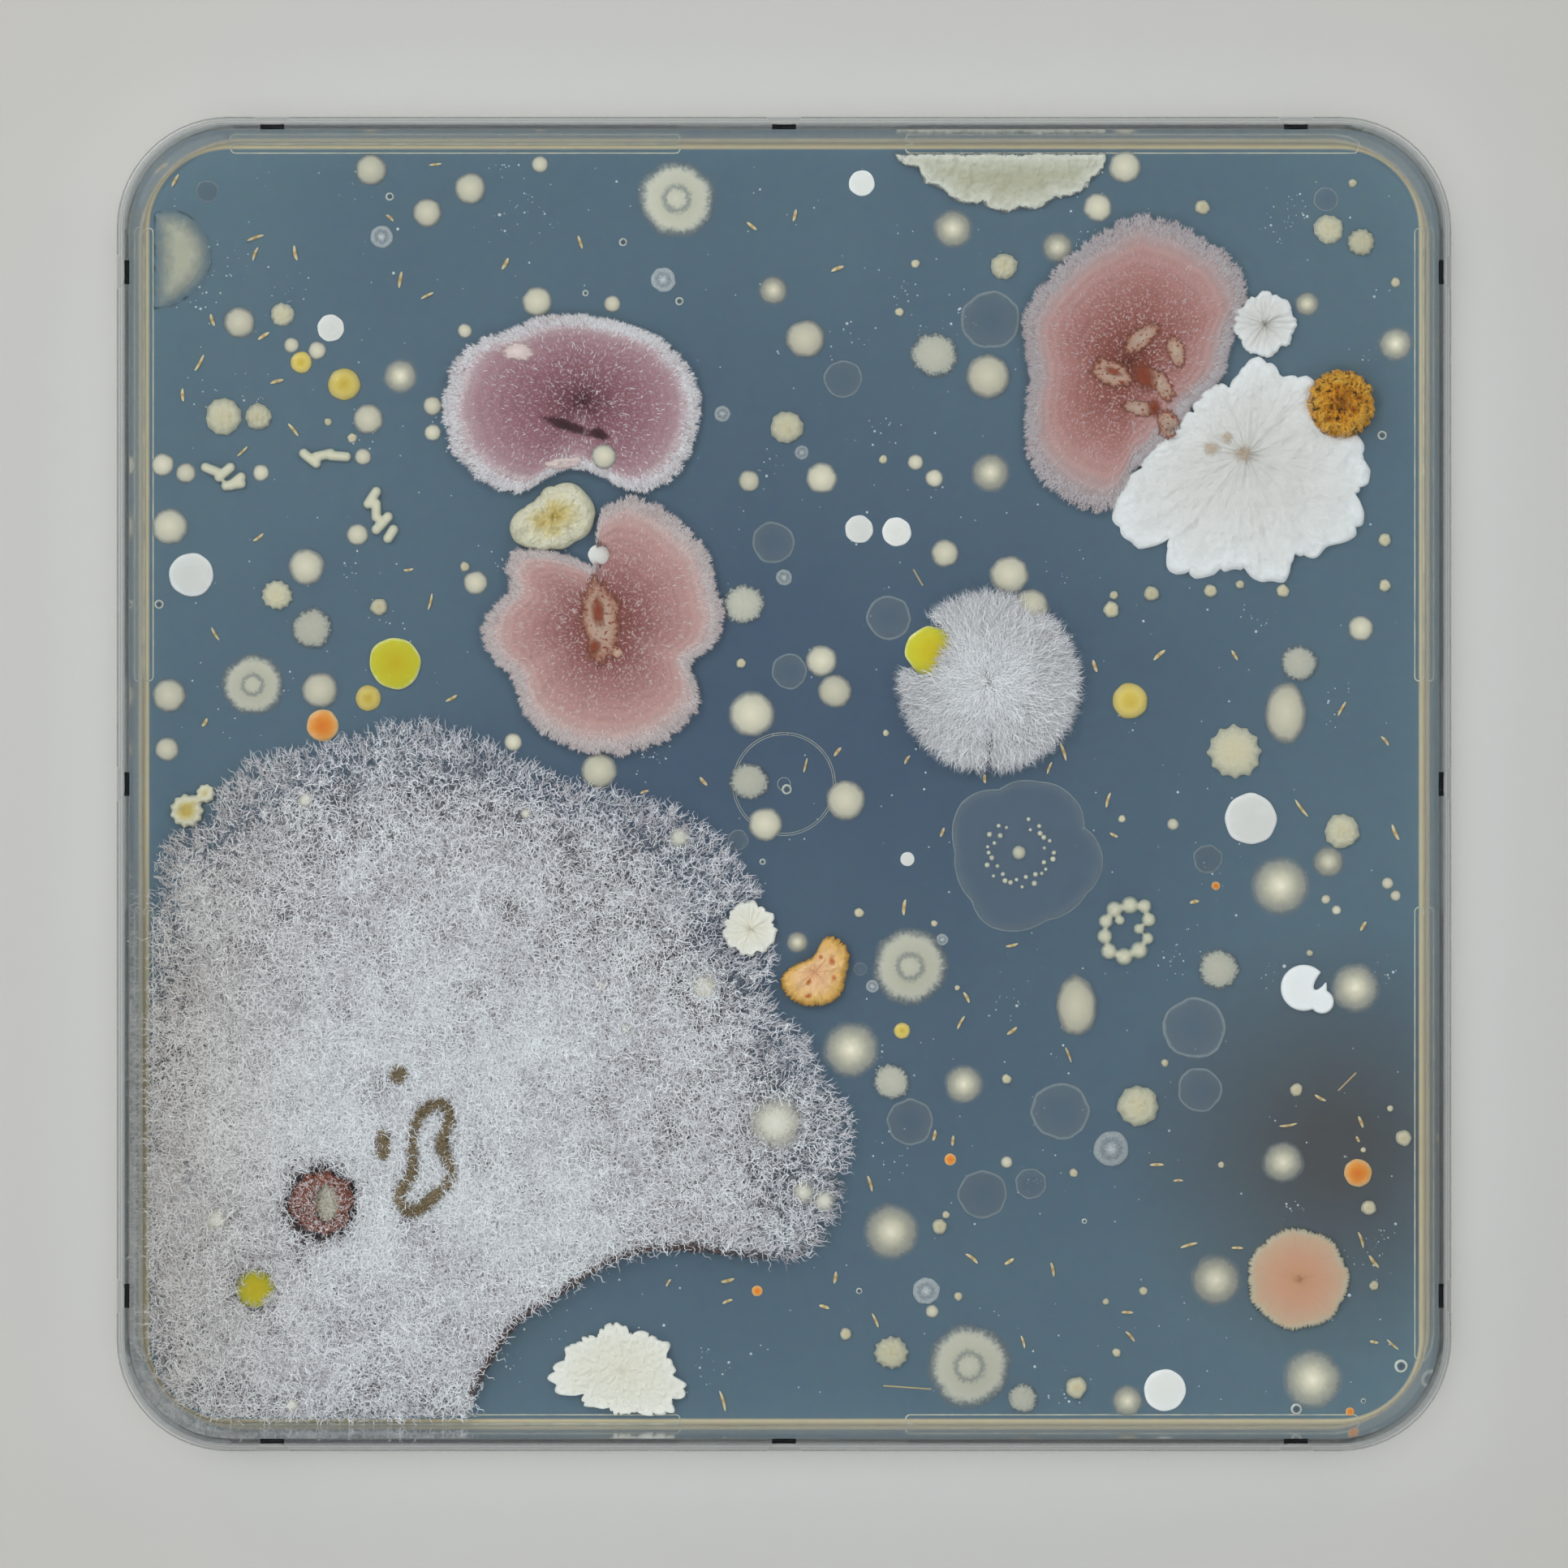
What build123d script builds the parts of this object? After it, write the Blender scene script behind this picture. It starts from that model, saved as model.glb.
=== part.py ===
from build123d import *
import os
from math import cos, dist, pi, sin

os.makedirs("parts", exist_ok=True)

# ----------------------------------------------------------------------
# Square culture dish with a lift-off lid, a poured agar bed and what has
# grown on it.  Millimetres.  Z is up, the origin is under the middle of
# the dish on the plane that its foot rails stand on.  +Y is the far side.
# ----------------------------------------------------------------------

# Driving dimensions of the moulded dish
dish_side = 245.0
dish_height = 25.0
dish_corner = 20.5
lid_plate = 1.2
lid_skirt_depth = 12.0
lid_skirt_wall = 1.0
lid_top_rounding = 0.7
rim_to_skirt = 0.3
base_wall = 0.95
base_draft = 1.1
base_floor = 1.4
floor_fillet = 2.4
heel_rounding = 0.7
rail_height = 0.8
rail_width = 1.6
rail_centre = 118.4
rim_gap = 0.6

# Vent scallops in the lid's upper edge, with the lugs that stand under them
scallop_pitch = 94.0
scallop_radius = 3.9
scallop_inset = 1.8
scallop_depth = 0.85
lug_width = 4.4
lug_reach = 1.7
pad_width = 0.85
pad_depth = 0.15

# Gate mark under the floor and level ticks outside the wall
gate_ring_radius = 9.4
gate_ring_width = 0.4
gate_stub_radius = 1.2
gate_relief = 0.3
tick_heights = (5.7, 6.5)
tick_lengths = (14.0, 9.0)
tick_thickness = 0.35
tick_relief = 0.25
tick_place = -8.0

# The poured bed
agar_depth = 4.0
meniscus_height = 1.2

# Levels and half widths that follow from them
floor_top = rail_height + base_floor
agar_top = floor_top + agar_depth
lid_underside = dish_height - lid_plate
rim_top = lid_underside - rim_gap
skirt_bottom = dish_height - lid_skirt_depth
skirt_inside = dish_side / 2 - lid_skirt_wall
rim_outside = skirt_inside - rim_to_skirt
rim_inside = rim_outside - base_wall
foot_outside = rim_outside - base_draft
foot_inside = rim_inside - base_draft
rim_corner = dish_corner - lid_skirt_wall - rim_to_skirt

# Growth heights
mat_height = 3.0
crater_height = 3.3
heart_height = 2.2
spore_height = 0.8
mould_height = 1.4
lobed_height = 1.3
upper_lobe_height = 1.1
fold_height = 2.0
salmon_height = 0.9
wall_fan_height = 1.0
wall_haze_height = 0.8
torn_disc_height = 0.7
rough_height = 0.8
flower_height = 1.0
pigment_height = 0.9
worm_height = 0.8
film_height = 0.25
husk_height = 0.5
fibre_height = 0.2

# Rise of a cap as a share of its radius: most discs, flat ones, beads, the tuft
disc_rise = 0.3
flat_rise = 0.16
bead_rise = 0.55
tuft_rise = 0.22

# A cap's shoulder, as shares of its radius and of its height
shoulder_radius = 0.78
shoulder_height = 0.62
crown_radius = 0.42


def corner_at(half_width):
    """Corner radius that keeps a square ring concentric with the rim."""
    return rim_corner - (rim_outside - half_width)


def plug(bottom, top, half_bottom, half_top, rounding):
    """Drafted square block with a rounded lower edge, as one solid."""
    with BuildPart() as body:
        with BuildSketch(Plane.XY.offset(bottom)):
            RectangleRounded(2 * half_bottom, 2 * half_bottom, corner_at(half_bottom))
        with BuildSketch(Plane.XY.offset(top)):
            RectangleRounded(2 * half_top, 2 * half_top, corner_at(half_top))
        loft()
        fillet(body.edges().group_by(Axis.Z)[0], rounding)
    return body.part


def outline(points, level=agar_top):
    """Flat face inside a smooth closed curve through the points."""
    with BuildSketch(Plane.XY.offset(level)) as face:
        with BuildLine():
            Spline(*points, periodic=True)
        make_face()
    return face.sketch


def lobes(points, bulge, level=agar_top):
    """Flat face whose edge bulges outwards from each point to the next."""
    sides = list(zip(points, points[1:] + points[:1]))
    twice_area = sum(a[0] * b[1] - b[0] * a[1] for a, b in sides)
    outward = -bulge if twice_area > 0 else bulge
    with BuildSketch(Plane.XY.offset(level)) as face:
        with BuildLine():
            for start, end in sides:
                SagittaArc(start, end, outward * dist(start, end))
        make_face()
    return face.sketch


def petals(x, y, radius, count, depth, turn=0.0, level=agar_top):
    """Flat round face whose edge waves in and out count times."""
    steps = 6 * count
    points = []
    for step in range(steps):
        angle = 2 * pi * step / steps
        reach = radius * (1 + depth * cos(count * angle + turn))
        points.append((x + reach * cos(angle), y + reach * sin(angle)))
    return outline(points, level)


def domes(places, rise, level=agar_top):
    """Flat-bottomed caps, each (x, y, radius), with a steep shoulder and a sloped crown."""
    upright = (Align.CENTER, Align.CENTER, Align.MIN)
    for x, y, radius in places:
        height = rise * radius
        shoulder = shoulder_height * height
        with Locations((x, y, level)):
            Cone(radius, shoulder_radius * radius, shoulder, align=upright)
        with Locations((x, y, level + shoulder)):
            Cone(shoulder_radius * radius, crown_radius * radius, height - shoulder, align=upright)


def pucks(places, height, level=agar_top):
    """Thin round plates, each (x, y, radius)."""
    for x, y, radius in places:
        with Locations((x, y, level)):
            Cylinder(radius, height, align=(Align.CENTER, Align.CENTER, Align.MIN))


def rods(places, width, height, level=agar_top):
    """Round-ended bars lying flat, each (x, y, length, angle)."""
    for x, y, length, angle in places:
        with BuildSketch(Plane.XY.offset(level)) as face:
            with Locations((x, y)):
                SlotOverall(length, width, rotation=angle)
        extrude(face.sketch, amount=height)


def finish(body, name):
    """Labels a finished piece and writes its STEP file."""
    body.part.label = name
    export_step(body.part, f"parts/{name}.step")


# ----------------------------------------------------------------------
# The dish
# ----------------------------------------------------------------------

shell = plug(rail_height, rim_top, foot_outside, rim_outside, heel_rounding)
hollow = plug(floor_top, rim_top, foot_inside, rim_inside, floor_fillet)

# Foot rails, each (middle along its side, length); they stop short of the middle
far_rails = ((-61.25, 83.7), (64.85, 84.3))
side_rails = ((61.4, 84.4), (-65.15, 84.3))

with BuildPart() as dish_base:
    add(shell)
    add(hollow, mode=Mode.SUBTRACT)
    with BuildSketch():
        for side in (-rail_centre, rail_centre):
            for middle, length in far_rails:
                with Locations((middle, side)):
                    SlotOverall(length, rail_width)
            for middle, length in side_rails:
                with Locations((side, middle)):
                    SlotOverall(length, rail_width, rotation=90)
    extrude(amount=rail_height)
    with BuildSketch(Plane.XY.offset(rail_height - gate_relief)):
        Circle(gate_ring_radius + gate_ring_width / 2)
        Circle(gate_ring_radius - gate_ring_width / 2, mode=Mode.SUBTRACT)
        Circle(gate_stub_radius)
    extrude(amount=gate_relief)
    for height, length in zip(tick_heights, tick_lengths):
        wall_at_tick = foot_outside + base_draft * (height - rail_height) / (rim_top - rail_height)
        out = wall_at_tick + tick_relief / 2
        with Locations((-out, tick_place, height)):
            Box(2 * tick_relief, length, tick_thickness)
        with Locations((tick_place, -out, height)):
            Box(length, 2 * tick_relief, tick_thickness)
finish(dish_base, "dish_base")

with BuildPart() as lid:
    with BuildSketch(Plane.XY.offset(skirt_bottom)):
        RectangleRounded(dish_side, dish_side, dish_corner)
    extrude(amount=lid_skirt_depth)
    fillet(lid.edges().group_by(Axis.Z)[-1], lid_top_rounding)
    with BuildSketch(Plane.XY.offset(skirt_bottom)):
        RectangleRounded(2 * skirt_inside, 2 * skirt_inside, dish_corner - lid_skirt_wall)
    extrude(amount=lid_underside - skirt_bottom, mode=Mode.SUBTRACT)
    for quarter in range(4):
        for along in (-scallop_pitch, 0.0, scallop_pitch):
            turn = Rot(0, 0, 90 * quarter)
            cut = turn * Pos(dish_side / 2 + scallop_radius - scallop_inset, along, dish_height)
            with Locations(cut):
                Cylinder(scallop_radius, 2 * scallop_depth, mode=Mode.SUBTRACT)
            with Locations(turn * Pos(skirt_inside - lug_reach / 2, along, lid_underside - rim_gap / 2)):
                Box(lug_reach, lug_width, rim_gap)
    for quarter in (0, 1, 3):
        tab = Rot(0, 0, 90 * quarter) * Pos(dish_side / 2 - 2 * scallop_inset, 0, dish_height)
        with Locations(tab):
            Box(pad_width, lug_width, 2 * pad_depth, mode=Mode.SUBTRACT)
finish(lid, "lid")

# The agar fills the floor and climbs a little where it wets the wall
meniscus_top = agar_top + meniscus_height
meniscus_inside = foot_inside + base_draft * (agar_top - floor_top) / (rim_top - floor_top)
air = plug(agar_top, rim_top, meniscus_inside, rim_inside + 0.5, meniscus_height - 0.1)

with BuildPart() as agar:
    add(hollow)
    split(bisect_by=Plane.XY.offset(meniscus_top), keep=Keep.BOTTOM)
    add(air, mode=Mode.SUBTRACT)
finish(agar, "agar")

# ----------------------------------------------------------------------
# Big moulds
# ----------------------------------------------------------------------

# The white mat fills the near left corner: a free edge, then the wall
mat_wall = 117.6
mat_corner = 14.5
mat_free_edge = [
    (-mat_wall, -15.0), (-113.5, -10.5), (-107.0, -7.0), (-103.5, 0.5), (-96.5, 4.5),
    (-86.0, 6.5), (-71.0, 10.5), (-57.5, 8.0), (-48.5, 3.5), (-40.5, 0.0), (-25.5, -3.5), (-13.5, -10.0),
    (-6.0, -19.5), (-2.5, -27.0), (-3.0, -34.0), (-2.5, -42.0), (3.0, -46.5), (6.0, -53.5),
    (11.5, -61.0), (11.0, -70.0), (8.5, -80.0), (4.5, -87.0), (-5.5, -88.5),
    (-18.0, -87.0), (-31.5, -89.0), (-40.5, -94.5), (-48.0, -99.5), (-54.5, -108.0),
    (-59.0, -mat_wall),
]
crater_place = (-86.0, -78.0)
crater_radius = 6.2
heart_place = (-85.1, -78.0)
heart_radii = (2.5, 3.7)
buried_disc = (-98.5, -94.0, 3.9)
lobed_cream_place = (-6.4, -27.0)
lobed_cream_radius = 5.0

# Free space round anything that stands in a pocket of a mould
pocket_gap = 0.1

with BuildPart() as white_mould_mat:
    with BuildSketch(Plane.XY.offset(agar_top)):
        with BuildLine():
            Spline(*mat_free_edge)
            Line((-59.0, -mat_wall), (mat_corner - mat_wall, -mat_wall))
            RadiusArc(
                (mat_corner - mat_wall, -mat_wall), (-mat_wall, mat_corner - mat_wall), mat_corner
            )
            Line((-mat_wall, mat_corner - mat_wall), mat_free_edge[0])
        make_face()
        with Locations(crater_place):
            Circle(crater_radius + pocket_gap, mode=Mode.SUBTRACT)
        with Locations(buried_disc[:2]):
            Circle(buried_disc[2] + 2 * pocket_gap, mode=Mode.SUBTRACT)
        with Locations(lobed_cream_place):
            Circle(lobed_cream_radius + 5 * pocket_gap, mode=Mode.SUBTRACT)
    extrude(amount=mat_height)
finish(white_mould_mat, "white_mould_mat")
mat_top = agar_top + mat_height

with BuildPart() as rust_crater_mould:
    with BuildSketch(Plane.XY.offset(agar_top)):
        with Locations(crater_place):
            Circle(crater_radius)
        with Locations(heart_place):
            Ellipse(heart_radii[0] + pocket_gap, heart_radii[1] + pocket_gap, mode=Mode.SUBTRACT)
    extrude(amount=crater_height)
finish(rust_crater_mould, "rust_crater_mould")

with BuildPart() as crater_heart:
    with BuildSketch(Plane.XY.offset(agar_top)):
        with Locations(heart_place):
            Ellipse(*heart_radii)
    extrude(amount=heart_height)
finish(crater_heart, "crater_heart")

# A closed loop of brown spore tufts stands on the mat, with two loose tufts
spore_loop = [
    (-65.0, -59.5), (-68.5, -63.5), (-69.0, -68.5), (-69.5, -73.0), (-71.5, -77.0),
    (-69.5, -79.5), (-65.0, -76.5), (-62.0, -74.0), (-63.0, -69.0), (-63.5, -65.5), (-62.0, -61.5),
]
spore_band = 1.5
round_tuft = (-71.5, -54.0)
round_tuft_radius = 1.4
long_tuft = (-74.5, -67.0)
long_tuft_radii = (1.1, 2.7)

with BuildPart() as brown_spore_tufts:
    with BuildSketch(Plane.XY.offset(mat_top)):
        with BuildLine():
            Spline(*spore_loop, periodic=True)
        trace(line_width=spore_band)
        with Locations(round_tuft):
            Circle(round_tuft_radius)
        with Locations(long_tuft):
            Ellipse(*long_tuft_radii)
    extrude(amount=spore_height)
finish(brown_spore_tufts, "brown_spore_tufts")

# Cream and white pads that show through the mat's hair
mat_pad_places = [
    (3.5, -76.0, 2.2), (-34.0, -37.5, 1.4), (-89.0, -3.0, 1.5), (-15.0, -38.0, 2.9),
    (-29.5, -45.5, 1.1), (-13.5, -52.5, 0.9), (-19.5, -10.0, 1.9), (-105.5, -81.0, 2.2),
    (7.5, -77.5, 2.0), (-91.5, -115.5, 1.3), (-1.5, -63.0, 5.0), (-48.0, -5.5, 1.1),
]
with BuildPart() as mat_pads:
    domes(mat_pad_places, disc_rise, mat_top)
finish(mat_pads, "mat_pads")

# Two rosettes that touch, each (x, y, radius, petals, height)
rosettes = [(-111.3, -5.0, 3.0, 11, 1.2), (-107.8, -1.8, 1.7, 9, 1.0)]
rosette_depth = 0.07

with BuildPart() as cream_rosettes:
    for x, y, radius, count, height in rosettes:
        extrude(petals(x, y, radius, count, rosette_depth), amount=height)
finish(cream_rosettes, "cream_rosettes")

lobed_cream_petals = 13

with BuildPart() as lobed_cream_colony:
    extrude(petals(*lobed_cream_place, lobed_cream_radius, lobed_cream_petals, 0.04), amount=lobed_height)
finish(lobed_cream_colony, "lobed_cream_colony")

# ----------------------------------------------------------------------
# Rosy moulds, low velvety pads
# ----------------------------------------------------------------------

pink_upper_edge = [
    (-50.5, 84.0), (-41.5, 87.0), (-31.0, 85.5), (-22.0, 81.5), (-16.5, 73.0), (-17.0, 64.0),
    (-21.0, 57.5), (-26.0, 55.0), (-35.0, 58.5), (-43.5, 58.5), (-49.5, 55.0), (-54.0, 56.0),
    (-61.5, 62.5), (-62.5, 74.5), (-55.5, 82.5),
]
pink_lower_edge = [
    (-33.0, 51.5), (-27.5, 53.0), (-20.5, 49.0), (-15.5, 44.0), (-12.5, 36.0), (-13.5, 26.5),
    (-18.5, 22.0), (-16.5, 16.5), (-21.0, 9.5), (-29.5, 6.0), (-40.5, 7.5), (-48.0, 13.0),
    (-50.5, 20.5), (-55.0, 25.0), (-55.0, 31.0), (-50.0, 37.0), (-51.5, 41.5), (-43.0, 42.5),
    (-38.5, 41.0), (-34.8, 39.7), (-31.5, 42.5), (-33.5, 46.5),
]
pink_right_edge = [
    (69.0, 105.5), (79.5, 100.5), (85.5, 92.5), (83.0, 84.0), (81.5, 77.0), (75.5, 70.5),
    (70.0, 63.0), (64.0, 57.5), (60.5, 51.5), (54.5, 52.5), (48.0, 57.5), (45.5, 67.0),
    (46.0, 77.0), (45.0, 86.0), (50.0, 94.5), (60.0, 102.5),
]
white_lobed_edge = [
    (91.0, 79.0), (84.5, 76.0), (77.0, 72.0), (73.5, 65.5), (67.5, 61.0), (62.5, 55.0),
    (62.5, 48.0), (69.0, 44.5), (74.0, 40.0), (80.0, 40.5), (85.0, 42.5), (90.5, 38.5),
    (96.5, 40.5), (101.0, 44.5), (108.5, 50.0), (108.0, 57.5), (105.5, 65.0), (98.5, 75.0),
]


# How far each scallop of a lobed edge bulges, as a share of its chord
white_bulge = 0.14
fold_bulge = 0.16
crust_bulge = 0.2
wall_fan_bulge = 0.18
film_bulge = 0.12

# How deep the edge of a petalled colony waves, as a share of its radius
shallow_petal = 0.02
petal_depth = 0.05

with BuildPart() as white_lobed_colony:
    extrude(lobes(white_lobed_edge, white_bulge), amount=mould_height)
finish(white_lobed_colony, "white_lobed_colony")

upper_lobe = (89.3, 85.8, 6.0)
upper_lobe_petals = 9

with BuildPart() as white_upper_lobe:
    extrude(petals(*upper_lobe, upper_lobe_petals, petal_depth), amount=upper_lobe_height)
    add(white_lobed_colony.part, mode=Mode.SUBTRACT)
finish(white_upper_lobe, "white_upper_lobe")

with BuildPart() as pink_mould_right:
    extrude(outline(pink_right_edge), amount=mould_height)
    add(white_lobed_colony.part, mode=Mode.SUBTRACT)
    add(white_upper_lobe.part, mode=Mode.SUBTRACT)
finish(pink_mould_right, "pink_mould_right")

with BuildPart() as pink_mould_upper:
    extrude(outline(pink_upper_edge), amount=mould_height)
finish(pink_mould_upper, "pink_mould_upper")

with BuildPart() as pink_mould_lower:
    extrude(outline(pink_lower_edge), amount=mould_height)
finish(pink_mould_lower, "pink_mould_lower")

# ----------------------------------------------------------------------
# Large single colonies
# ----------------------------------------------------------------------

golden_place = (103.8, 70.8, 6.5)
golden_foot = 1.8
golden_rise = 0.35

with BuildPart() as golden_wrinkled_colony:
    domes([golden_place], golden_rise, agar_top + golden_foot)
    pucks([golden_place], golden_foot)
    add(white_lobed_colony.part, mode=Mode.SUBTRACT)
finish(golden_wrinkled_colony, "golden_wrinkled_colony")

brain_edge = [
    (-51.0, 48.0), (-46.5, 52.5), (-41.5, 56.0), (-36.5, 54.0), (-35.5, 49.5), (-38.5, 45.5),
    (-43.5, 44.0), (-49.0, 44.5),
]
with BuildPart() as cream_brain_colony:
    extrude(lobes(brain_edge, fold_bulge), amount=fold_height)
    add(pink_mould_lower.part, mode=Mode.SUBTRACT)
    add(pink_mould_upper.part, mode=Mode.SUBTRACT)
finish(cream_brain_colony, "cream_brain_colony")

salmon_place = (95.8, -92.3, 9.5)
salmon_petals = 7

with BuildPart() as salmon_colony:
    extrude(petals(*salmon_place, salmon_petals, shallow_petal), amount=salmon_height)
finish(salmon_colony, "salmon_colony")

peach_edge = [
    (-0.5, -36.0), (2.5, -33.5), (6.0, -31.5), (8.0, -28.5), (11.5, -30.0), (11.8, -35.0),
    (10.0, -40.0), (5.5, -41.5), (1.0, -40.0),
]
with BuildPart() as peach_colony:
    extrude(outline(peach_edge), amount=fold_height)
finish(peach_colony, "peach_colony")

crust_edge = [
    (-43.0, -111.5), (-42.0, -107.0), (-37.5, -104.5), (-33.5, -101.5), (-28.5, -102.0),
    (-23.5, -103.5), (-20.5, -107.5), (-20.5, -111.0), (-17.0, -113.0), (-19.5, -115.5),
    (-23.5, -116.8), (-29.5, -116.8), (-35.0, -115.5), (-39.0, -113.5),
]
with BuildPart() as white_crust_colony:
    extrude(lobes(crust_edge, crust_bulge), amount=lobed_height)
finish(white_crust_colony, "white_crust_colony")

# Two growths that lean on the wall: a scalloped fan and a soft haze
fan_wall = 117.5
fan_edge = [
    (20.5, fan_wall), (25.0, 115.0), (29.5, 111.0), (37.0, 108.5), (44.0, 107.5), (50.5, 109.5),
    (57.5, 113.0), (60.0, fan_wall),
]
with BuildPart() as edge_fan_colony:
    with BuildSketch(Plane.XY.offset(agar_top)):
        with BuildLine():
            for start, end in zip(fan_edge, fan_edge[1:]):
                SagittaArc(start, end, -wall_fan_bulge * dist(start, end))
            Line(fan_edge[-1], fan_edge[0])
        make_face()
    extrude(amount=wall_fan_height)
finish(edge_fan_colony, "edge_fan_colony")

haze_edge = [
    (-fan_wall, 106.5), (-110.0, 105.5), (-106.5, 98.5), (-109.5, 92.0), (-fan_wall, 88.5),
]
with BuildPart() as edge_haze_colony:
    with BuildSketch(Plane.XY.offset(agar_top)):
        with BuildLine():
            Spline(*haze_edge)
            Line(haze_edge[-1], haze_edge[0])
        make_face()
    extrude(amount=wall_haze_height)
finish(edge_haze_colony, "edge_haze_colony")

# A flat white disc with a wedge torn out and a smaller lobe below the tear
torn_disc = (96.9, -38.0, 4.3)
torn_lobe = (100.3, -40.6, 2.2)
tear_place = (100.4, -36.2)
tear_radii = (0.9, 2.6)
tear_turn = -35

with BuildPart() as white_bitten_disc:
    with BuildSketch(Plane.XY.offset(agar_top)):
        for x, y, radius in (torn_disc, torn_lobe):
            with Locations((x, y)):
                Circle(radius)
        with Locations(tear_place):
            Ellipse(*tear_radii, rotation=tear_turn, mode=Mode.SUBTRACT)
    extrude(amount=torn_disc_height)
finish(white_bitten_disc, "white_bitten_disc")

# ----------------------------------------------------------------------
# Smaller colonies by kind, each place (x, y, radius)
# ----------------------------------------------------------------------

white_disc_places = [
    (87.0, -6.5, 4.8), (71.0, -113.0, 3.9), (23.0, -14.0, 1.3), (14.0, 47.5, 2.6),
    (21.0, 47.0, 2.7), (-34.5, 42.7, 2.0), (-110.5, 39.0, 4.1), (14.5, 112.0, 2.4),
    (-84.5, 85.0, 2.5),
]
cream_disc_places = [
    (-101.5, 86.0, 2.6), (-46.0, 89.9, 2.5), (4.0, 83.0, 3.2), (38.0, 76.0, 3.7),
    (-114.5, 48.0, 3.0), (-114.6, 16.5, 2.8), (-115.0, 6.5, 2.0), (-57.5, 37.5, 2.0),
    (-50.5, 7.8, 1.5), (-6.5, 56.5, 1.8), (-79.5, 46.5, 1.8), (-89.0, 40.5, 3.0),
    (-86.5, 17.5, 3.0), (-3.5, -7.5, 2.8), (11.5, -3.0, 3.3), (7.0, 57.0, 2.6),
    (53.5, -38.0, 1.7), (54.5, -43.0, 3.4), (72.5, -7.5, 1.0), (27.6, -98.3, 1.1),
    (41.5, -70.5, 1.0), (7.0, 23.0, 2.6), (-6.0, 13.0, 3.8), (-34.5, 2.5, 3.0),
    (42.0, 39.0, 3.2), (46.0, 33.0, 3.0), (-77.0, 114.5, 2.6), (-66.5, 106.5, 2.4),
    (-58.5, 111.0, 2.6), (-45.5, 115.5, 1.4), (58.5, 107.5, 2.4), (63.5, 115.0, 2.7),
    (-65.5, 65.5, 1.4), (-65.5, 70.5, 1.6), (-59.5, 84.5, 1.2), (-32.0, 89.5, 1.4),
    (-111.5, 58.0, 1.7), (-115.8, 59.5, 1.9), (-97.5, 58.0, 1.4), (-78.5, 61.0, 1.4),
    (107.5, 29.0, 2.1), (93.5, 11.5, 3.4), (92.5, 16.5, 1.8), (24.5, 60.0, 1.3),
    (28.0, 57.0, 1.5), (30.0, 43.0, 2.3), (112.5, -18.5, 1.0), (114.0, -20.8, 0.9),
    (101.0, -21.5, 0.8), (103.0, -23.5, 0.8), (-91.8, 81.8, 1.3), (-87.0, 80.8, 1.5),
    (-77.5, 68.0, 2.5), (9.5, 17.3, 2.8),
]
halo_places = [
    (-71.5, 76.0, 2.8), (-2.0, 92.0, 2.4), (51.0, 100.0, 2.6), (38.5, 58.0, 3.2),
    (31.5, 103.5, 3.2), (114.0, 82.0, 2.8), (97.5, 89.5, 2.0), (92.5, -19.0, 4.8),
    (106.5, -38.0, 4.0), (101.5, -14.5, 2.6), (93.0, -70.5, 3.4), (80.5, -92.5, 4.2),
    (98.5, -111.0, 4.9), (64.0, -115.0, 2.6), (20.0, -83.5, 4.6), (12.5, -49.5, 4.6),
    (2.5, -29.5, 1.8), (33.5, -56.0, 3.2),
]
ringed_places = [
    (-20.0, 109.0, 6.4), (-99.0, 18.5, 5.2), (34.5, -108.5, 7.0), (23.5, -34.0, 6.4),
]
rough_places = [
    (-6.5, 0.5, 3.6), (-88.0, 29.0, 3.8), (44.5, -114.5, 2.8), (81.0, -34.5, 3.8),
    (-7.5, 33.5, 3.8), (20.0, -55.5, 3.4), (28.0, 80.0, 4.3), (96.0, 22.5, 3.4),
]
wrinkled_places = [
    (-93.5, 87.5, 2.3), (-104.5, 68.5, 3.6), (-98.0, 68.5, 2.6), (66.0, -60.0, 4.0),
    (101.5, 103.4, 2.9), (0.5, 66.5, 3.2), (41.0, 96.5, 2.6), (104.0, -8.8, 3.4),
]
flower_places = [
    (84.0, 6.0, 5.2, 12), (107.5, 101.0, 2.7, 9), (20.0, -106.0, 3.3, 14), (-94.5, 35.2, 3.0, 10),
]
bead_places = [
    (64.5, -22.6, 1.7), (67.2, -22.8, 1.4), (61.6, -23.4, 1.6), (60.0, -25.6, 1.4),
    (68.0, -25.3, 1.4), (66.2, -27.0, 1.1), (59.8, -28.4, 1.5), (60.6, -31.2, 1.6),
    (63.4, -32.2, 1.7), (66.2, -31.0, 1.7), (67.8, -28.8, 1.2), (62.6, -25.4, 1.0),
]
film_places = [
    (23.5, -63.0, 4.2), (51.5, -61.0, 5.2), (76.5, -45.5, 5.6), (77.5, -57.0, 4.0),
    (37.0, -76.5, 4.4), (46.0, -74.5, 2.8), (14.2, -34.5, 1.2), (-8.6, -10.5, 1.9),
    (-2.0, 45.0, 3.8), (1.0, 21.0, 3.2), (19.5, 31.0, 4.0), (101.0, 109.0, 2.2),
    (38.5, 86.5, 5.3), (79.0, -14.0, 2.6), (11.0, 75.5, 3.4), (-107.5, 110.5, 2.0),
]
crystal_places = [
    (-75.0, 102.0, 2.1), (-11.5, 69.0, 1.5), (3.3, 61.8, 1.3), (-22.5, 94.0, 2.3),
    (0.0, 38.5, 1.5), (61.0, -68.0, 3.3), (26.5, -94.5, 2.5), (16.5, -37.7, 1.2),
    (29.5, -29.0, 1.1),
]
yellow_places = [
    (-90.0, 78.6, 2.0), (-82.0, 74.5, 3.0), (64.5, 15.5, 3.3), (22.0, -46.0, 1.5),
    (-77.5, 16.0, 2.4),
]
yellow_green_places = [(-72.5, 22.5, 4.9), (27.5, 24.7, 4.9), buried_disc]
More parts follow.
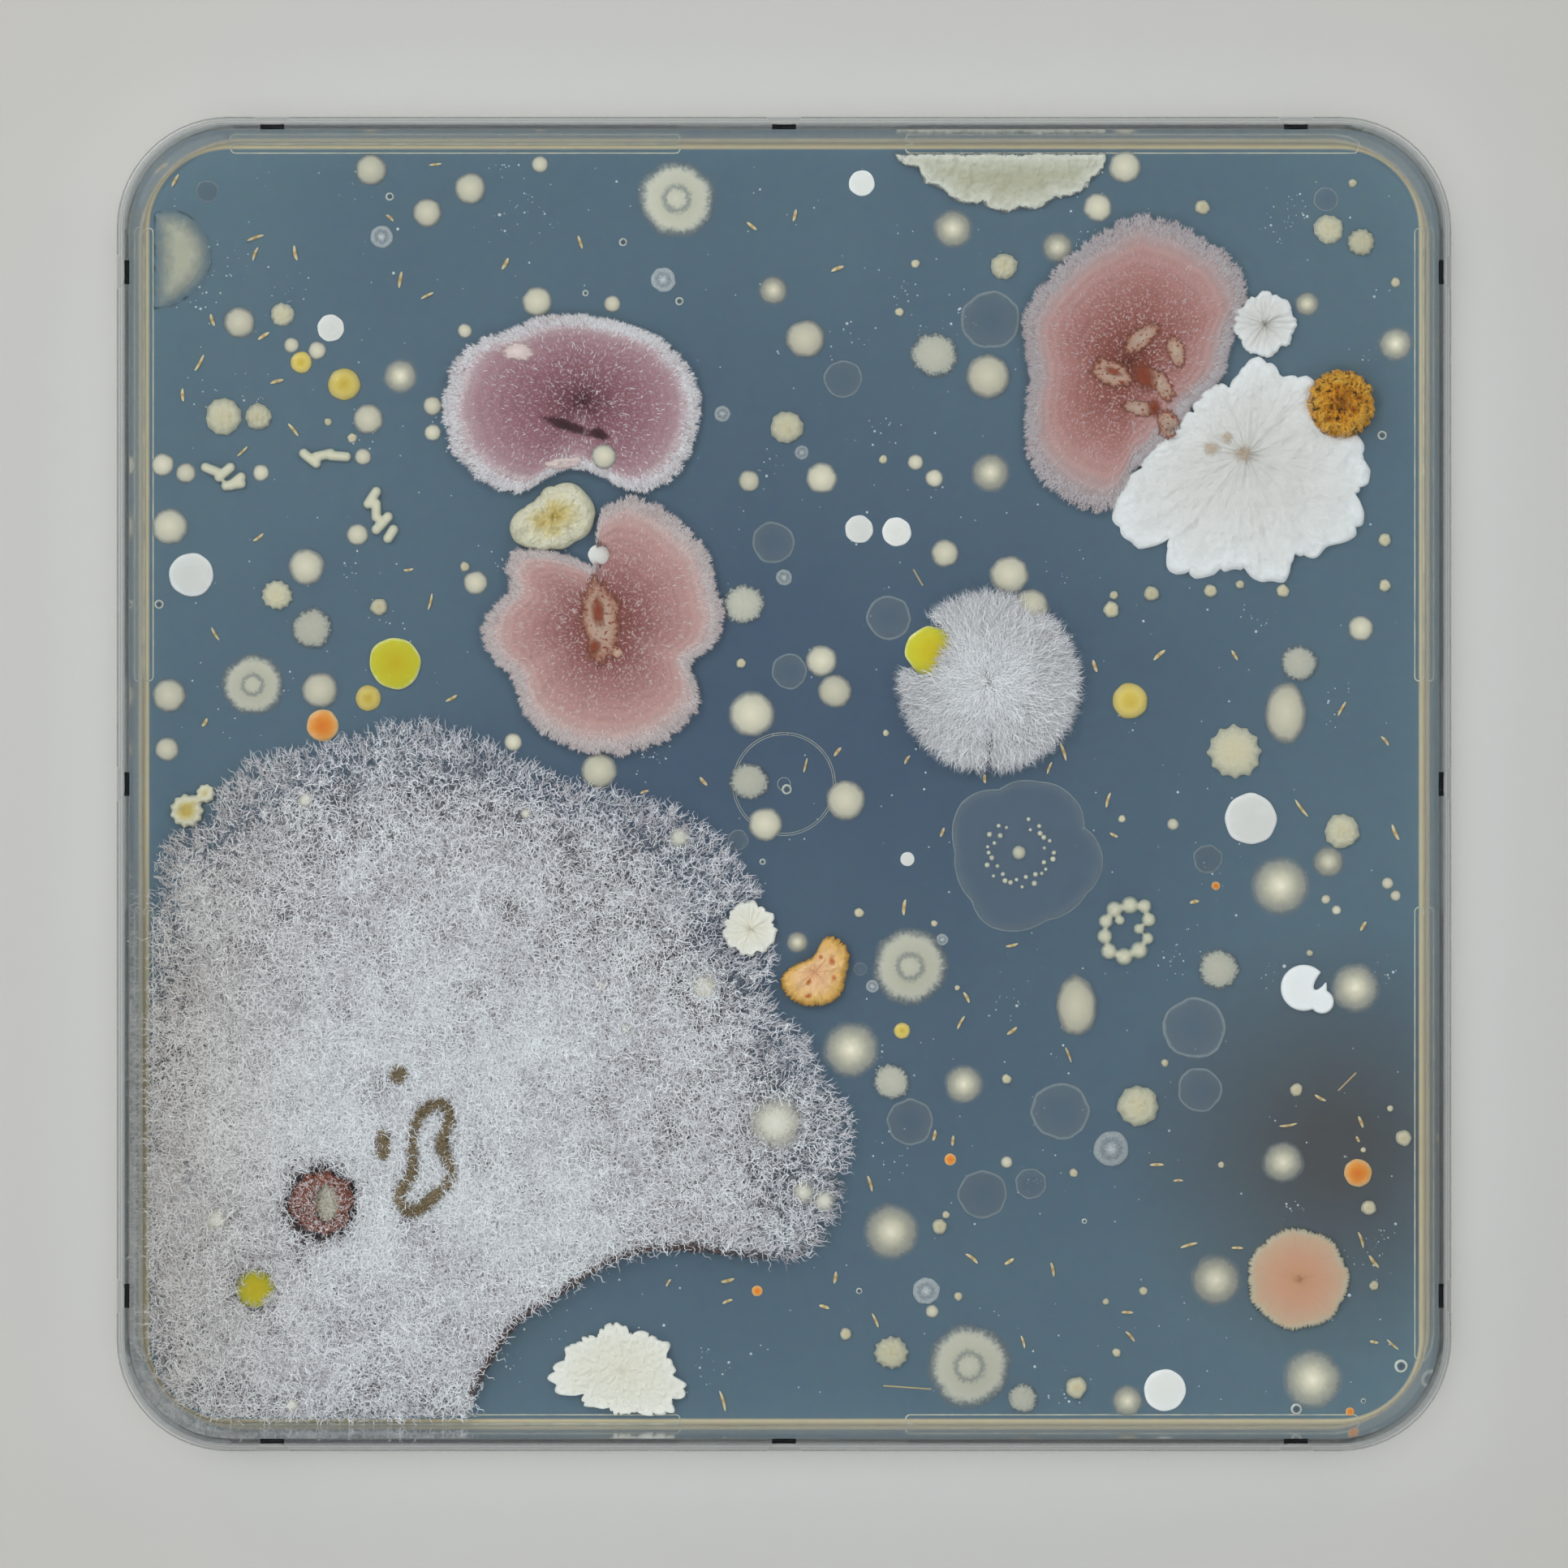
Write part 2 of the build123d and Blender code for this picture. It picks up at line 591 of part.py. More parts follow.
orange_places = [
    (-86.0, 10.9, 3.0), (-5.0, -94.5, 1.0), (80.5, -19.0, 0.8), (107.0, -72.5, 2.6),
    (31.0, -70.0, 1.1), (105.5, -117.0, 0.8),
]
crumb_places = [
    (19.0, 9.5, 0.6), (61.0, 32.5, 1.5), (61.5, 35.2, 0.8), (112.0, 45.5, 1.2),
    (112.0, 37.0, 1.1), (93.0, 36.0, 1.2), (85.0, 37.2, 0.8), (68.5, 35.5, 1.4),
    (79.5, 36.0, 1.2), (14.0, -24.0, 0.9), (41.5, -55.0, 0.9), (11.5, -102.5, 1.1),
    (29.0, -82.5, 1.4), (30.2, -80.3, 0.7), (109.0, -79.0, 1.4), (63.0, -6.5, 0.7),
    (71.0, -52.0, 0.7), (98.0, -31.5, 0.6), (95.5, -57.0, 1.2), (113.0, -60.5, 0.6),
    (28.0, -26.0, 0.6), (32.3, -38.0, 0.5), (54.0, -72.5, 0.8), (32.5, -95.5, 0.8),
    (67.0, -94.5, 0.8), (62.0, -106.0, 0.8), (110.0, -93.5, 0.9), (54.5, -112.5, 2.0),
    (81.5, -71.0, 0.6), (108.0, -68.2, 0.5), (115.5, -66.0, 1.5), (60.0, -96.5, 0.6),
    (-8.0, 22.5, 0.9), (-59.5, 40.5, 0.9), (24.5, 97.0, 0.8), (21.5, 88.0, 0.8),
    (18.5, 60.5, 0.8), (106.0, 112.0, 0.8), (114.0, 93.5, 0.9), (78.0, 107.5, 1.4),
    (-80.5, 64.5, 0.9), (-85.0, 67.5, 0.7), (-75.5, 33.0, 1.6),
]
bubble_places = [
    (-73.5, 109.5, 0.8), (-30.0, 101.0, 0.8), (-37.0, 91.5, 0.6), (-19.5, 90.0, 0.8),
    (111.5, 65.0, 0.9), (-116.5, 33.5, 0.9), (0.5, -1.0, 1.0),
    (-4.0, -14.5, 0.6), (14.0, -94.5, 0.6), (56.0, -81.5, 0.5), (115.0, -108.5, 1.3),
    (95.5, -116.5, 1.1), (108.0, -115.0, 0.5),
]

# The broad clear film, with a granular heart and a ring of granules on it
broad_film_edge = [
    (31.8, -12.5), (33.0, -3.5), (40.0, -1.0), (47.5, 0.5), (54.0, -2.5), (56.0, -8.0),
    (59.5, -14.0), (56.5, -20.5), (49.0, -25.5), (39.0, -27.0), (35.0, -22.0),
]
granule_middle = (43.8, -12.8)
granule_ring = 5.6
granule_count = 34
granule_gap = (75.0, 110.0)
granule_scatter = 0.16
granule_radius = 0.42
granule_spread = 0.1
granule_heart = 1.3

# Worm-like chains, each a run of points along the middle of the chain
worm_runs = [
    [(-107.8, 58.0), (-105.3, 59.0), (-103.2, 57.2), (-101.2, 55.6), (-104.0, 56.0)],
    [(-89.5, 59.8), (-87.2, 61.6), (-84.5, 61.0), (-81.6, 61.2)],
    [(-77.5, 54.5), (-76.0, 52.2), (-76.0, 49.8), (-73.8, 47.4), (-72.8, 45.8)],
]
worm_width = 1.9

# Dry husks and loose fibres, each (x, y, length, angle)
husk_places = [
    (-98.5, 101.8, 3.2, 20), (-98.5, 98.8, 2.8, 70), (-106.5, 86.5, 3.0, 110), (-97.0, 83.5, 2.6, 35),
    (-109.0, 78.5, 3.4, 60), (-94.5, 75.0, 3.0, 15), (-112.0, 72.5, 2.8, 95), (-91.5, 66.0, 3.2, 130),
    (-101.0, 62.0, 2.6, 45), (-71.5, 94.0, 3.2, 80), (-66.5, 91.0, 2.8, 25), (-65.0, 115.5, 3.0, 5),
    (-73.5, 105.5, 2.4, 140), (-113.5, 112.5, 2.6, 60), (-91.0, 99.0, 3.0, 100), (29.5, -9.0, 2.4, 70),
    (22.5, -23.0, 3.2, 85), (60.5, -3.0, 3.6, 75), (61.5, -9.5, 2.0, 155), (42.5, -30.0, 2.4, 15),
    (42.5, -46.0, 3.0, 35), (53.0, -50.5, 3.0, 110), (34.0, -39.8, 2.6, 120), (33.0, -44.5, 3.4, 60),
    (96.5, -4.5, 4.4, 128), (76.5, -22.0, 2.0, 10), (114.0, -9.0, 3.4, 115), (108.0, -26.5, 2.6, 60),
    (94.0, -63.5, 3.6, 10), (100.0, -58.5, 2.4, 150), (107.5, -63.0, 2.4, 110), (31.5, -66.5, 2.6, 85),
    (16.0, -74.5, 3.2, 105), (28.0, -65.5, 2.0, 80), (9.5, -92.0, 2.6, 80), (35.0, -88.5, 3.0, 140),
    (42.0, -89.0, 2.4, 35), (50.0, -90.5, 2.8, 100), (7.5, -97.5, 2.0, 160), (17.0, -100.0, 3.2, 115),
    (44.5, -104.0, 2.6, 105), (-10.5, -92.5, 3.0, 15), (-10.5, -96.5, 2.4, 20), (-21.5, -93.0, 2.0, 60),
    (-11.5, -115.0, 4.4, 105), (69.5, -71.0, 3.2, 0), (73.5, -74.0, 2.4, 0), (107.0, -66.2, 1.6, 120),
    (75.5, -86.0, 3.6, 15), (84.5, -86.5, 2.4, 0), (107.5, -85.0, 3.4, 110), (110.0, -89.0, 3.4, 130),
    (64.0, -98.5, 2.4, 0), (64.5, -103.0, 3.0, 130), (110.0, -104.0, 2.0, 170), (113.5, -104.5, 4.0, 140),
    (37.5, 1.0, 2.2, 95), (23.0, 4.5, 2.4, 60), (52.0, 6.0, 3.6, 110), (49.5, 3.0, 3.0, 70),
    (10.0, 6.0, 2.4, 50), (4.0, 3.5, 2.8, 75), (-15.0, 0.5, 2.4, 130), (-26.0, -1.5, 2.2, 20),
    (58.0, 22.0, 2.6, 110), (70.0, 24.0, 3.0, 40), (84.0, 24.0, 2.6, 120), (104.0, 14.0, 3.0, 60),
    (112.0, 8.0, 2.6, 130), (-62.0, 16.0, 2.6, 30), (-66.0, 34.0, 3.2, 75), (-70.0, 40.0, 2.4, 10),
    (-106.0, 28.0, 2.8, 120), (-108.0, 11.5, 2.4, 60), (-98.0, 46.0, 3.0, 35), (2.0, 106.0, 3.0, 75),
    (-6.0, 104.0, 2.4, 140), (10.0, 96.0, 2.8, 20), (-38.0, 101.0, 3.0, 110), (-52.0, 97.0, 2.6, 60),
]
fibre_places = [
    (105.0, -55.5, 4.8, 45), (23.0, -112.5, 9.0, -4), (25.0, 38.5, 3.6, 120),
]

with BuildPart() as white_discs:
    domes(white_disc_places, flat_rise)
finish(white_discs, "white_discs")

with BuildPart() as cream_discs:
    domes(cream_disc_places, disc_rise)
finish(cream_discs, "cream_discs")

mould_disc_place = (-33.5, 61.0, 2.5)

with BuildPart() as cream_disc_on_mould:
    domes([mould_disc_place], disc_rise, agar_top + mould_height)
finish(cream_disc_on_mould, "cream_disc_on_mould")

with BuildPart() as halo_colonies:
    domes(halo_places, flat_rise)
finish(halo_colonies, "halo_colonies")

with BuildPart() as ringed_colonies:
    domes(ringed_places, flat_rise)
finish(ringed_colonies, "ringed_colonies")

rough_petals = 10

with BuildPart() as rough_colonies:
    for x, y, radius in rough_places:
        extrude(petals(x, y, radius, rough_petals, petal_depth), amount=rough_height)
finish(rough_colonies, "rough_colonies")

with BuildPart() as wrinkled_colonies:
    domes(wrinkled_places, disc_rise)
finish(wrinkled_colonies, "wrinkled_colonies")

with BuildPart() as flower_colonies:
    for x, y, radius, count in flower_places:
        extrude(petals(x, y, radius, count, petal_depth), amount=flower_height)
finish(flower_colonies, "flower_colonies")

with BuildPart() as beaded_colony:
    domes(bead_places, bead_rise)
finish(beaded_colony, "beaded_colony")

with BuildPart() as clear_films:
    pucks(film_places, film_height)
finish(clear_films, "clear_films")

with BuildPart() as broad_film:
    extrude(lobes(broad_film_edge, film_bulge), amount=film_height)
finish(broad_film, "broad_film")

granules = [(*granule_middle, granule_heart)]
for step in range(granule_count):
    angle = 360 * step / granule_count
    if not granule_gap[0] < angle < granule_gap[1]:
        reach = granule_ring * (1 + granule_scatter * cos(5 * angle))
        place = Vector(*granule_middle) + Vector(reach, 0).rotate(Axis.Z, angle)
        granules.append((place.X, place.Y, granule_radius + granule_spread * sin(7 * angle)))

with BuildPart() as film_granules:
    domes(granules, bead_rise, agar_top + film_height)
finish(film_granules, "film_granules")

with BuildPart() as crystal_discs:
    domes(crystal_places, flat_rise)
finish(crystal_discs, "crystal_discs")

with BuildPart() as yellow_discs:
    domes(yellow_places, disc_rise)
finish(yellow_discs, "yellow_discs")

with BuildPart() as yellow_green_colonies:
    pucks(yellow_green_places, pigment_height)
finish(yellow_green_colonies, "yellow_green_colonies")

with BuildPart() as orange_discs:
    domes(orange_places, disc_rise)
finish(orange_discs, "orange_discs")

with BuildPart() as small_crumbs:
    domes(crumb_places, bead_rise)
finish(small_crumbs, "small_crumbs")

with BuildPart() as agar_bubbles:
    domes(bubble_places, bead_rise)
finish(agar_bubbles, "agar_bubbles")

tuft_place = (38.2, 19.0)
tuft_radius = 15.8
tuft_pockets = [(27.5, 24.7, 5.0), (46.0, 33.0, 3.2)]

with BuildPart() as cotton_tuft:
    domes([(*tuft_place, tuft_radius)], tuft_rise)
    for x, y, radius in tuft_pockets:
        with Locations((x, y, agar_top)):
            Cylinder(radius, 2 * tuft_radius, mode=Mode.SUBTRACT)
finish(cotton_tuft, "cotton_tuft")

with BuildPart() as worm_colonies:
    for run in worm_runs:
        with BuildSketch(Plane.XY.offset(agar_top)) as face:
            for start, end in zip(run, run[1:]):
                middle = ((start[0] + end[0]) / 2, (start[1] + end[1]) / 2)
                turn = Vector(end[0] - start[0], end[1] - start[1]).get_signed_angle(Vector(1, 0))
                with Locations(middle):
                    SlotCenterToCenter(dist(start, end), worm_width, rotation=-turn)
        extrude(face.sketch, amount=worm_height)
finish(worm_colonies, "worm_colonies")

husk_width = 0.9
fibre_width = 0.25

with BuildPart() as seed_husks:
    rods(husk_places, husk_width, husk_height)
finish(seed_husks, "seed_husks")

with BuildPart() as loose_fibres:
    rods(fibre_places, fibre_width, fibre_height)
finish(loose_fibres, "loose_fibres")
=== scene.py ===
"""Square culture dish: the looks of its clear mouldings, agar bed and growth."""
from math import cos, pi, radians, sin

import bpy
import numpy as np
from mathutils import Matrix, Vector, kdtree
from mathutils.noise import fractal, noise


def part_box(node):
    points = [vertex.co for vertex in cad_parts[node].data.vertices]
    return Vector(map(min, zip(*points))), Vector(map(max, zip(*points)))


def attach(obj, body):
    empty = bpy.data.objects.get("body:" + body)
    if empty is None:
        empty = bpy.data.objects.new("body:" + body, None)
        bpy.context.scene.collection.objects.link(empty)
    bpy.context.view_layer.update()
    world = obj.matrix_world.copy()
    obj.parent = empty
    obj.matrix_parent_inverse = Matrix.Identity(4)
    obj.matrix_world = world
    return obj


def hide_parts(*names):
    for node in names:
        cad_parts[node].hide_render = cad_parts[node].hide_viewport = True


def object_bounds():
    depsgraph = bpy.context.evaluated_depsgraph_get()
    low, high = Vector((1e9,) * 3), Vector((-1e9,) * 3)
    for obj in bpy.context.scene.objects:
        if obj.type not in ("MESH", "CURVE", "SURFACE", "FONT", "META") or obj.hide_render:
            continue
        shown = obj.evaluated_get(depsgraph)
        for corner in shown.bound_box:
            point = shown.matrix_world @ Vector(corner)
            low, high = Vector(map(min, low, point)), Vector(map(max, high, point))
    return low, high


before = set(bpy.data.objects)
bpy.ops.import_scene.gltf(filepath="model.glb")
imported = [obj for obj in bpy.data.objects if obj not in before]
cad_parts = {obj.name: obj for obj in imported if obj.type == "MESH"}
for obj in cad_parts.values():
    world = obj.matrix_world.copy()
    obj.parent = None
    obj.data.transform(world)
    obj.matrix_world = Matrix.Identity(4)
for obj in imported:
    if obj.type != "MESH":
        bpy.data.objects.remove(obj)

bl_info = {
    "name": "Culture Dish",
    "version": (1, 0, 0),
    "blender": (4, 5, 0),
    "location": "3D View > Sidebar > Dish",
    "description": "Gives a square culture dish its clear plastic, agar and growth",
    "category": "Add Mesh",
}

MM = 0.001
CAD_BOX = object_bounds()
AGAR_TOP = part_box("cream_discs")[0][2]
RIM_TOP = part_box("dish_base")[1][2]
GEL_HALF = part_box("agar")[1][0]
STILL = "dish"
SEAT = 0.02 * MM          # growth sits this far above its CAD floor, clear of the gel
EDGE_GAP = 4 * MM         # fringe hair and specks keep this far from the gel's rim
CAMERA_HEIGHT = 1.184
LAMP_REACH = 1.05
LAMP_HEIGHT = 0.85
LAMP_WATTS = (4.5, 6.5, 4.5, 3.0)


# ----------------------------------------------------------------------
# Settings a user would change
# ----------------------------------------------------------------------


class DishSizes(bpy.types.PropertyGroup):
    """Sizes of the fine detail."""

    hair_length: bpy.props.FloatProperty(
        name="Hair length", description="Length of one hair of the white mould",
        default=2.0 * MM, min=0.2 * MM, max=6 * MM, subtype="DISTANCE", unit="LENGTH",
    )
    hair_width: bpy.props.FloatProperty(
        name="Hair width", description="Drawn width of one hair, several real hairs together",
        default=0.13 * MM, min=0.01 * MM, max=0.3 * MM, subtype="DISTANCE", unit="LENGTH",
    )
    fringe_hairs: bpy.props.IntProperty(
        name="Fringe hairs", description="Hairs that reach out from the mat's free edge", default=2600,
        min=100, max=66000,
    )
    tuft_hairs: bpy.props.IntProperty(
        name="Tuft hairs", description="Hairs on the cotton tuft", default=5200, min=0, max=66000,
    )
    speck_count: bpy.props.IntProperty(
        name="Specks", description="Tiny pale specks on the agar", default=1500, min=0, max=5000,
    )
    speck_size: bpy.props.FloatProperty(
        name="Speck size", description="Mean diameter of a speck",
        default=0.28 * MM, min=0.05 * MM, max=1 * MM, subtype="DISTANCE", unit="LENGTH",
    )


class DishColours(bpy.types.PropertyGroup):
    """Main colours, as sRGB hex."""

    agar: bpy.props.StringProperty(
        name="Agar", description="Colour of the middle of the agar bed", default="#46586B",
    )
    agar_rim: bpy.props.StringProperty(
        name="Agar rim", description="Colour of the agar near the walls", default="#637A82",
    )
    hair: bpy.props.StringProperty(
        name="Hair", description="Colour of the white mould's hair", default="#ECE8EB",
    )
    floor: bpy.props.StringProperty(
        name="Floor", description="Colour of the studio floor", default="#D9D8D4",
    )


# ----------------------------------------------------------------------
# Materials
# ----------------------------------------------------------------------


def linear(code):
    """Linear RGBA of an sRGB hex colour."""
    parts = [int(code[i:i + 2], 16) / 255 for i in (1, 3, 5)]
    return (*[p / 12.92 if p <= 0.04045 else ((p + 0.055) / 1.055) ** 2.4 for p in parts], 1.0)


def add(tree, kind, settings=None, links=None):
    """Adds a node with its settings and its links and returns it."""
    made = tree.nodes.new("ShaderNode" + kind)
    for key, value in (settings or {}).items():
        if isinstance(key, str) and key in made.bl_rna.properties:
            setattr(made, key, value)
        else:
            made.inputs[key].default_value = value
    for key, source in (links or {}).items():
        tree.links.new(source, made.inputs[key])
    return made


def start(name):
    """A new material with an empty tree: (material, tree, Object coordinates)."""
    material = bpy.data.materials.new(name)
    material.use_nodes = True
    tree = material.node_tree
    tree.nodes.clear()
    return material, tree, add(tree, "TexCoord").outputs["Object"]


def close(tree, shader):
    """Joins the shader to the material's output."""
    add(tree, "OutputMaterial", links={"Surface": shader})


def ramp(tree, factor, stops):
    """Colour ramp through (position, hex or grey level) stops."""
    made = add(tree, "ValToRGB", links={"Fac": factor})
    band = made.color_ramp
    while len(band.elements) < len(stops):
        band.elements.new(0.5)
    for element, (place, value) in zip(band.elements, stops):
        element.position = place
        element.color = linear(value) if isinstance(value, str) else (value, value, value, 1)
    return made.outputs["Color"]


def spot(node, across, up):
    """The place (x, y) at two shares of a CAD node's box, from its left and its front side."""
    low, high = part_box(node)
    return low[0] + across * (high[0] - low[0]), low[1] + up * (high[1] - low[1])


def scale_of(size_mm):
    """Noise scale whose features are about size_mm across, on coordinates in metres."""
    return 1 / (size_mm * MM)


def radial(name, stops, grain_mm=0.5, streak=0.0, spokes=6.0, grain=0.1, bump_mm=0.06,
           rough=(0.3, 0.45), fade=None, coat=0.0, soft=0.0, bands=0, band_share=0.0, pits=None):
    """A growth material that changes from a colony's heart to its edge.

    stops colour the way from heart (0) to edge (1); streak and grain push the bands
    about by spoke-wise and fine noise; fade is where the edge starts to thin out."""
    material, tree, place = start(name)
    rim = add(tree, "Attribute", {"attribute_name": "rim"}).outputs["Fac"]
    fan = add(tree, "Attribute", {"attribute_name": "fan"}).outputs["Vector"]
    tone = add(tree, "Attribute", {"attribute_name": "tone"}).outputs["Fac"]
    spoke = add(tree, "TexNoise", {"Scale": spokes, "Detail": 4.0, "Roughness": 0.6}, {"Vector": fan})
    fine = add(
        tree, "TexNoise", {"Scale": scale_of(grain_mm), "Detail": 5.0, "Roughness": 0.65},
        {"Vector": place},
    )
    spoke_push = add(
        tree, "Math", {"operation": "MULTIPLY_ADD", 1: 2 * streak, 2: -streak}, {0: spoke.outputs["Fac"]},
    )
    fine_push = add(
        tree, "Math", {"operation": "MULTIPLY_ADD", 1: 2 * grain, 2: -grain}, {0: fine.outputs["Fac"]},
    )
    near = add(tree, "Math", {"operation": "ADD"}, {0: rim, 1: spoke_push.outputs[0]})
    where = add(tree, "Math", {"operation": "ADD"}, {0: near.outputs[0], 1: fine_push.outputs[0]})
    colour = ramp(tree, where.outputs[0], stops)
    value = add(tree, "Math", {"operation": "MULTIPLY_ADD", 1: 0.22, 2: 0.89}, {0: tone})
    toned = add(tree, "HueSaturation", {"Fac": 1.0}, {"Color": colour, "Value": value.outputs[0]})
    gloss = add(
        tree, "MapRange", {"To Min": rough[0], "To Max": rough[1]}, {"Value": fine.outputs["Fac"]},
    )
    relief = add(tree, "Math", {"operation": "ADD"}, {0: spoke_push.outputs[0], 1: fine.outputs["Fac"]})
    painted = toned.outputs["Color"]
    if bands:
        turns = add(tree, "Math", {"operation": "MULTIPLY", 1: 2 * pi * bands}, {0: near.outputs[0]})
        wave = add(tree, "Math", {"operation": "SINE"}, {0: turns.outputs[0]})
        shade = add(
            tree, "Math", {"operation": "MULTIPLY_ADD", 1: band_share, 2: 1.0}, {0: wave.outputs[0]},
        )
        banded = add(tree, "HueSaturation", {"Fac": 1.0}, {"Color": painted, "Value": shade.outputs[0]})
        painted = banded.outputs["Color"]
        relief = add(
            tree, "Math", {"operation": "MULTIPLY_ADD", 1: 0.3}, {0: wave.outputs[0], 2: relief.outputs[0]},
        )
    if pits:
        size_mm, level, dark = pits
        spots = add(tree, "TexNoise", {"Scale": scale_of(size_mm), "Detail": 3.0}, {"Vector": place})
        deep = add(
            tree, "MapRange", {"From Min": level, "From Max": level + 0.07}, {"Value": spots.outputs["Fac"]},
        )
        dotted = add(
            tree, "Mix", {"data_type": "RGBA", 7: linear(dark)}, {0: deep.outputs["Result"], 6: painted},
        )
        painted = dotted.outputs[2]
    bump = add(tree, "Bump", {"Strength": 0.9, "Distance": bump_mm * MM}, {"Height": relief.outputs[0]})
    skin = add(
        tree, "BsdfPrincipled", {"IOR": 1.38, "Coat Weight": coat, "Coat Roughness": 0.12},
        {"Base Color": painted, "Roughness": gloss.outputs["Result"], "Normal": bump.outputs["Normal"]},
    )
    if soft:
        skin.inputs["Subsurface Weight"].default_value = soft
        skin.inputs["Subsurface Radius"].default_value = (1.0, 0.9, 0.7)
        skin.inputs["Subsurface Scale"].default_value = 0.6 * MM
    if fade:
        thin = ramp(tree, where.outputs[0], fade)
        tree.links.new(thin, skin.inputs["Alpha"])
    close(tree, skin.outputs["BSDF"])
    return material


def clear_polystyrene(name, haze_mm, rough):
    """Injection-moulded crystal polystyrene: water clear and hard, with faint flow waves.
    Lamps shine through it, so what it covers stays lit."""
    material, tree, place = start(name)
    flow = add(tree, "TexNoise", {"Scale": scale_of(haze_mm), "Detail": 2.0}, {"Vector": place})
    bump = add(tree, "Bump", {"Strength": 0.12, "Distance": 0.02 * MM}, {"Height": flow.outputs["Fac"]})
    gloss = add(
        tree, "MapRange", {"To Min": rough, "To Max": rough + 0.05}, {"Value": flow.outputs["Fac"]},
    )
    plastic = add(
        tree, "BsdfPrincipled",
        {"Base Color": linear("#F4F8FA"), "IOR": 1.49, "Transmission Weight": 1.0},
        {"Roughness": gloss.outputs["Result"], "Normal": bump.outputs["Normal"]},
    )
    path = add(tree, "LightPath")
    clear = add(tree, "BsdfTransparent", {"Color": linear("#F6F8F9")})
    mixed = add(
        tree, "MixShader",
        links={0: path.outputs["Is Shadow Ray"], 1: plastic.outputs["BSDF"], 2: clear.outputs["BSDF"]},
    )
    close(tree, mixed.outputs["Shader"])
    return material


def agar_gel(colours):
    """Set agar gel: wet, faintly hazy, slate blue in the middle and paler towards the walls,
    with a bright tan line of painted highlight where it meets them."""
    material, tree, place = start("agar_gel")
    folded = add(tree, "VectorMath", {"operation": "ABSOLUTE"}, {0: place})
    flat = add(tree, "VectorMath", {"operation": "MULTIPLY", 1: (1, 1, 0)}, {0: folded.outputs[0]})
    past = add(
        tree, "VectorMath", {"operation": "SUBTRACT", 1: (GEL_HALF - 16 * MM, GEL_HALF - 16 * MM, 0)},
        {0: flat.outputs[0]},
    )
    outer = add(tree, "VectorMath", {"operation": "MAXIMUM", 1: (0, 0, 0)}, {0: past.outputs[0]})
    length = add(tree, "VectorMath", {"operation": "LENGTH"}, {0: outer.outputs[0]})
    edge = add(
        tree, "MapRange", {"From Min": 0.0, "From Max": 16 * MM}, {"Value": length.outputs["Value"]},
    )
    cloud = add(tree, "TexNoise", {"Scale": scale_of(70), "Detail": 3.0}, {"Vector": place})
    mist = add(tree, "TexNoise", {"Scale": scale_of(2.2), "Detail": 6.0, "Roughness": 0.7}, {"Vector": place})
    far = add(tree, "VectorMath", {"operation": "LENGTH"}, {0: flat.outputs[0]})
    spread = add(
        tree, "MapRange", {"From Min": 0.03, "From Max": 0.16, "To Max": 0.75},
        {"Value": far.outputs["Value"]},
    )
    lean = add(tree, "MapRange", {"To Min": -0.25, "To Max": 0.35}, {"Value": cloud.outputs["Fac"]})
    share = add(
        tree, "Math", {"operation": "ADD", "use_clamp": True},
        {0: spread.outputs["Result"], 1: lean.outputs["Result"]},
    )
    body = add(
        tree, "Mix", {"data_type": "RGBA", 6: linear(colours.agar), 7: linear(colours.agar_rim)},
        {0: share.outputs[0]},
    )
    smudge_at = add(
        tree, "VectorMath", {"operation": "DISTANCE", 1: (*spot("agar", 0.931, 0.215), AGAR_TOP)}, {0: place},
    )
    smudge = add(
        tree, "MapRange", {"From Min": 0.006, "From Max": 0.042, "To Min": 0.85, "To Max": 0.0},
        {"Value": smudge_at.outputs["Value"]},
    )
    warm = add(
        tree, "Mix", {"data_type": "RGBA", 7: linear("#4B4746")},
        {0: smudge.outputs["Result"], 6: body.outputs[2]},
    )
    # Painted highlight: a bright tan line where the gel meets the walls, for light caught by the meniscus
    meniscus_highlight = ramp(tree, edge.outputs["Result"], [(0.0, 0.0), (0.925, 0.0), (0.95, 0.9), (1.0, 0.55)])
    line = add(
        tree, "Mix", {"data_type": "RGBA", 7: linear("#CDBB94")}, {0: meniscus_highlight, 6: warm.outputs[2]},
    )
    misty = add(
        tree, "Mix", {"data_type": "RGBA", "blend_type": "OVERLAY", 0: 0.12},
        {6: line.outputs[2], 7: mist.outputs["Color"]},
    )
    bump = add(tree, "Bump", {"Strength": 0.25, "Distance": 0.05 * MM}, {"Height": mist.outputs["Fac"]})
    gloss = add(tree, "MapRange", {"To Min": 0.28, "To Max": 0.42}, {"Value": mist.outputs["Fac"]})
    gel = add(
        tree, "BsdfPrincipled", {"IOR": 1.34},
        {
            "Base Color": misty.outputs[2], "Roughness": gloss.outputs["Result"],
            "Normal": bump.outputs["Normal"],
        },
    )
    close(tree, gel.outputs["BSDF"])
    return material


